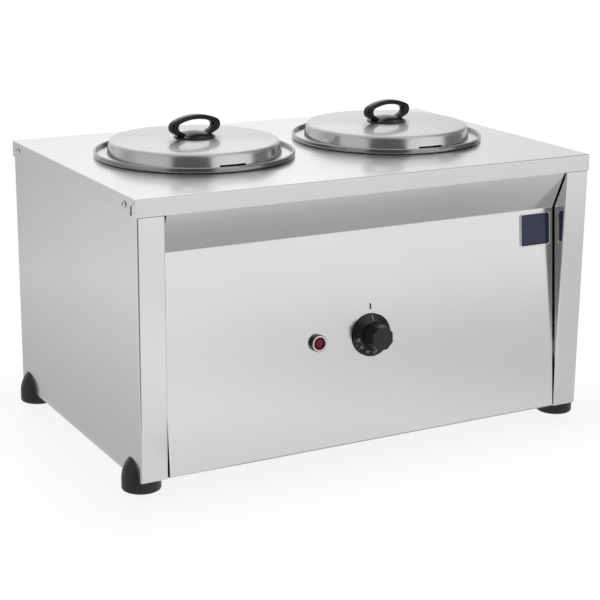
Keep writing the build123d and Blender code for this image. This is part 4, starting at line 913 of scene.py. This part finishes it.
PLAIN_WHITE = (1 / TENT_PEAK, 1 / TENT_PEAK, 1 / TENT_PEAK, 1.0)
world = bpy.data.worlds.new("studio")
bpy.context.scene.world = world
world.use_nodes = True
way = add_node(world, "ShaderNodeTexCoord").outputs["Generated"]
ahead = vector_maths(world, "DOT_PRODUCT", way, TENT_MOUTH).outputs["Value"]
aside = vector_maths(world, "DOT_PRODUCT", way, TENT_RIGHT).outputs["Value"]
tent = add_node(world, "ShaderNodeValToRGB")
tent.color_ramp.interpolation = "EASE"
for step, (angle, grey) in enumerate(TENT):
    spot = (angle + 180) / 360
    stop = tent.color_ramp.elements[step] if step < 2 else tent.color_ramp.elements.new(spot)
    stop.position = spot
    stop.color = (grey, grey, grey, 1.0)
turned_by = maths(world, "ARCTAN2", aside, ahead)
wire(world, spread(world, turned_by, 0.0, 1.0, -math.pi, math.pi), tent.inputs["Fac"])
heights = add_node(world, "ShaderNodeSeparateXYZ")
wire(world, way, heights.inputs["Vector"])
wall = product(
    world,
    spread(world, aside, 1.0, 0.0, *WALL_RIGHT),
    spread(world, aside, WALL_LEFT_REST, 1.0, *WALL_LEFT),
    spread(world, ahead, 1.0, 0.0, *WALL_FRONT),
    spread(world, heights.outputs["Z"], 0.0, 1.0, *WALL_FOOT),
)
walled = tint(world, wall, tent.outputs["Color"], WALL_WHITE)
roofed = tint(world, spread(world, heights.outputs["Z"], 0.0, 1.0, *ROOF_EDGE), walled, ROOF_GREY)
lens_ray = add_node(world, "ShaderNodeLightPath").outputs["Is Camera Ray"]
sky = world.node_tree.nodes["Background"]
wire(world, tint(world, lens_ray, roofed, PLAIN_WHITE), sky.inputs["Color"])
sky.inputs["Strength"].default_value = TENT_PEAK

# Camera: a long lens to the left of the front, a little above the lids and looking down on them.
# Its place, aim and slight roll come from a fit to the corners of the box in the photograph.
CAMERA_LENS = 96.42
CAMERA_SENSOR = 36.0
CAMERA_SPOT = (-0.9431, -1.7210, 0.6975)
CAMERA_AIM = Vector((0.4644, 0.8423, -0.2735))
CAMERA_ROLL = math.radians(0.61)
camera = bpy.data.objects.new("camera", bpy.data.cameras.new("camera"))
camera.data.lens = CAMERA_LENS
camera.data.sensor_width = CAMERA_SENSOR
turn_to = CAMERA_AIM.to_track_quat("-Z", "Y").to_matrix().to_4x4()
camera.matrix_world = Matrix.Translation(CAMERA_SPOT) @ turn_to @ Matrix.Rotation(CAMERA_ROLL, 4, "Z")
bpy.context.scene.collection.objects.link(camera)
bpy.context.scene.camera = camera
bpy.context.scene.view_settings.view_transform = "Standard"
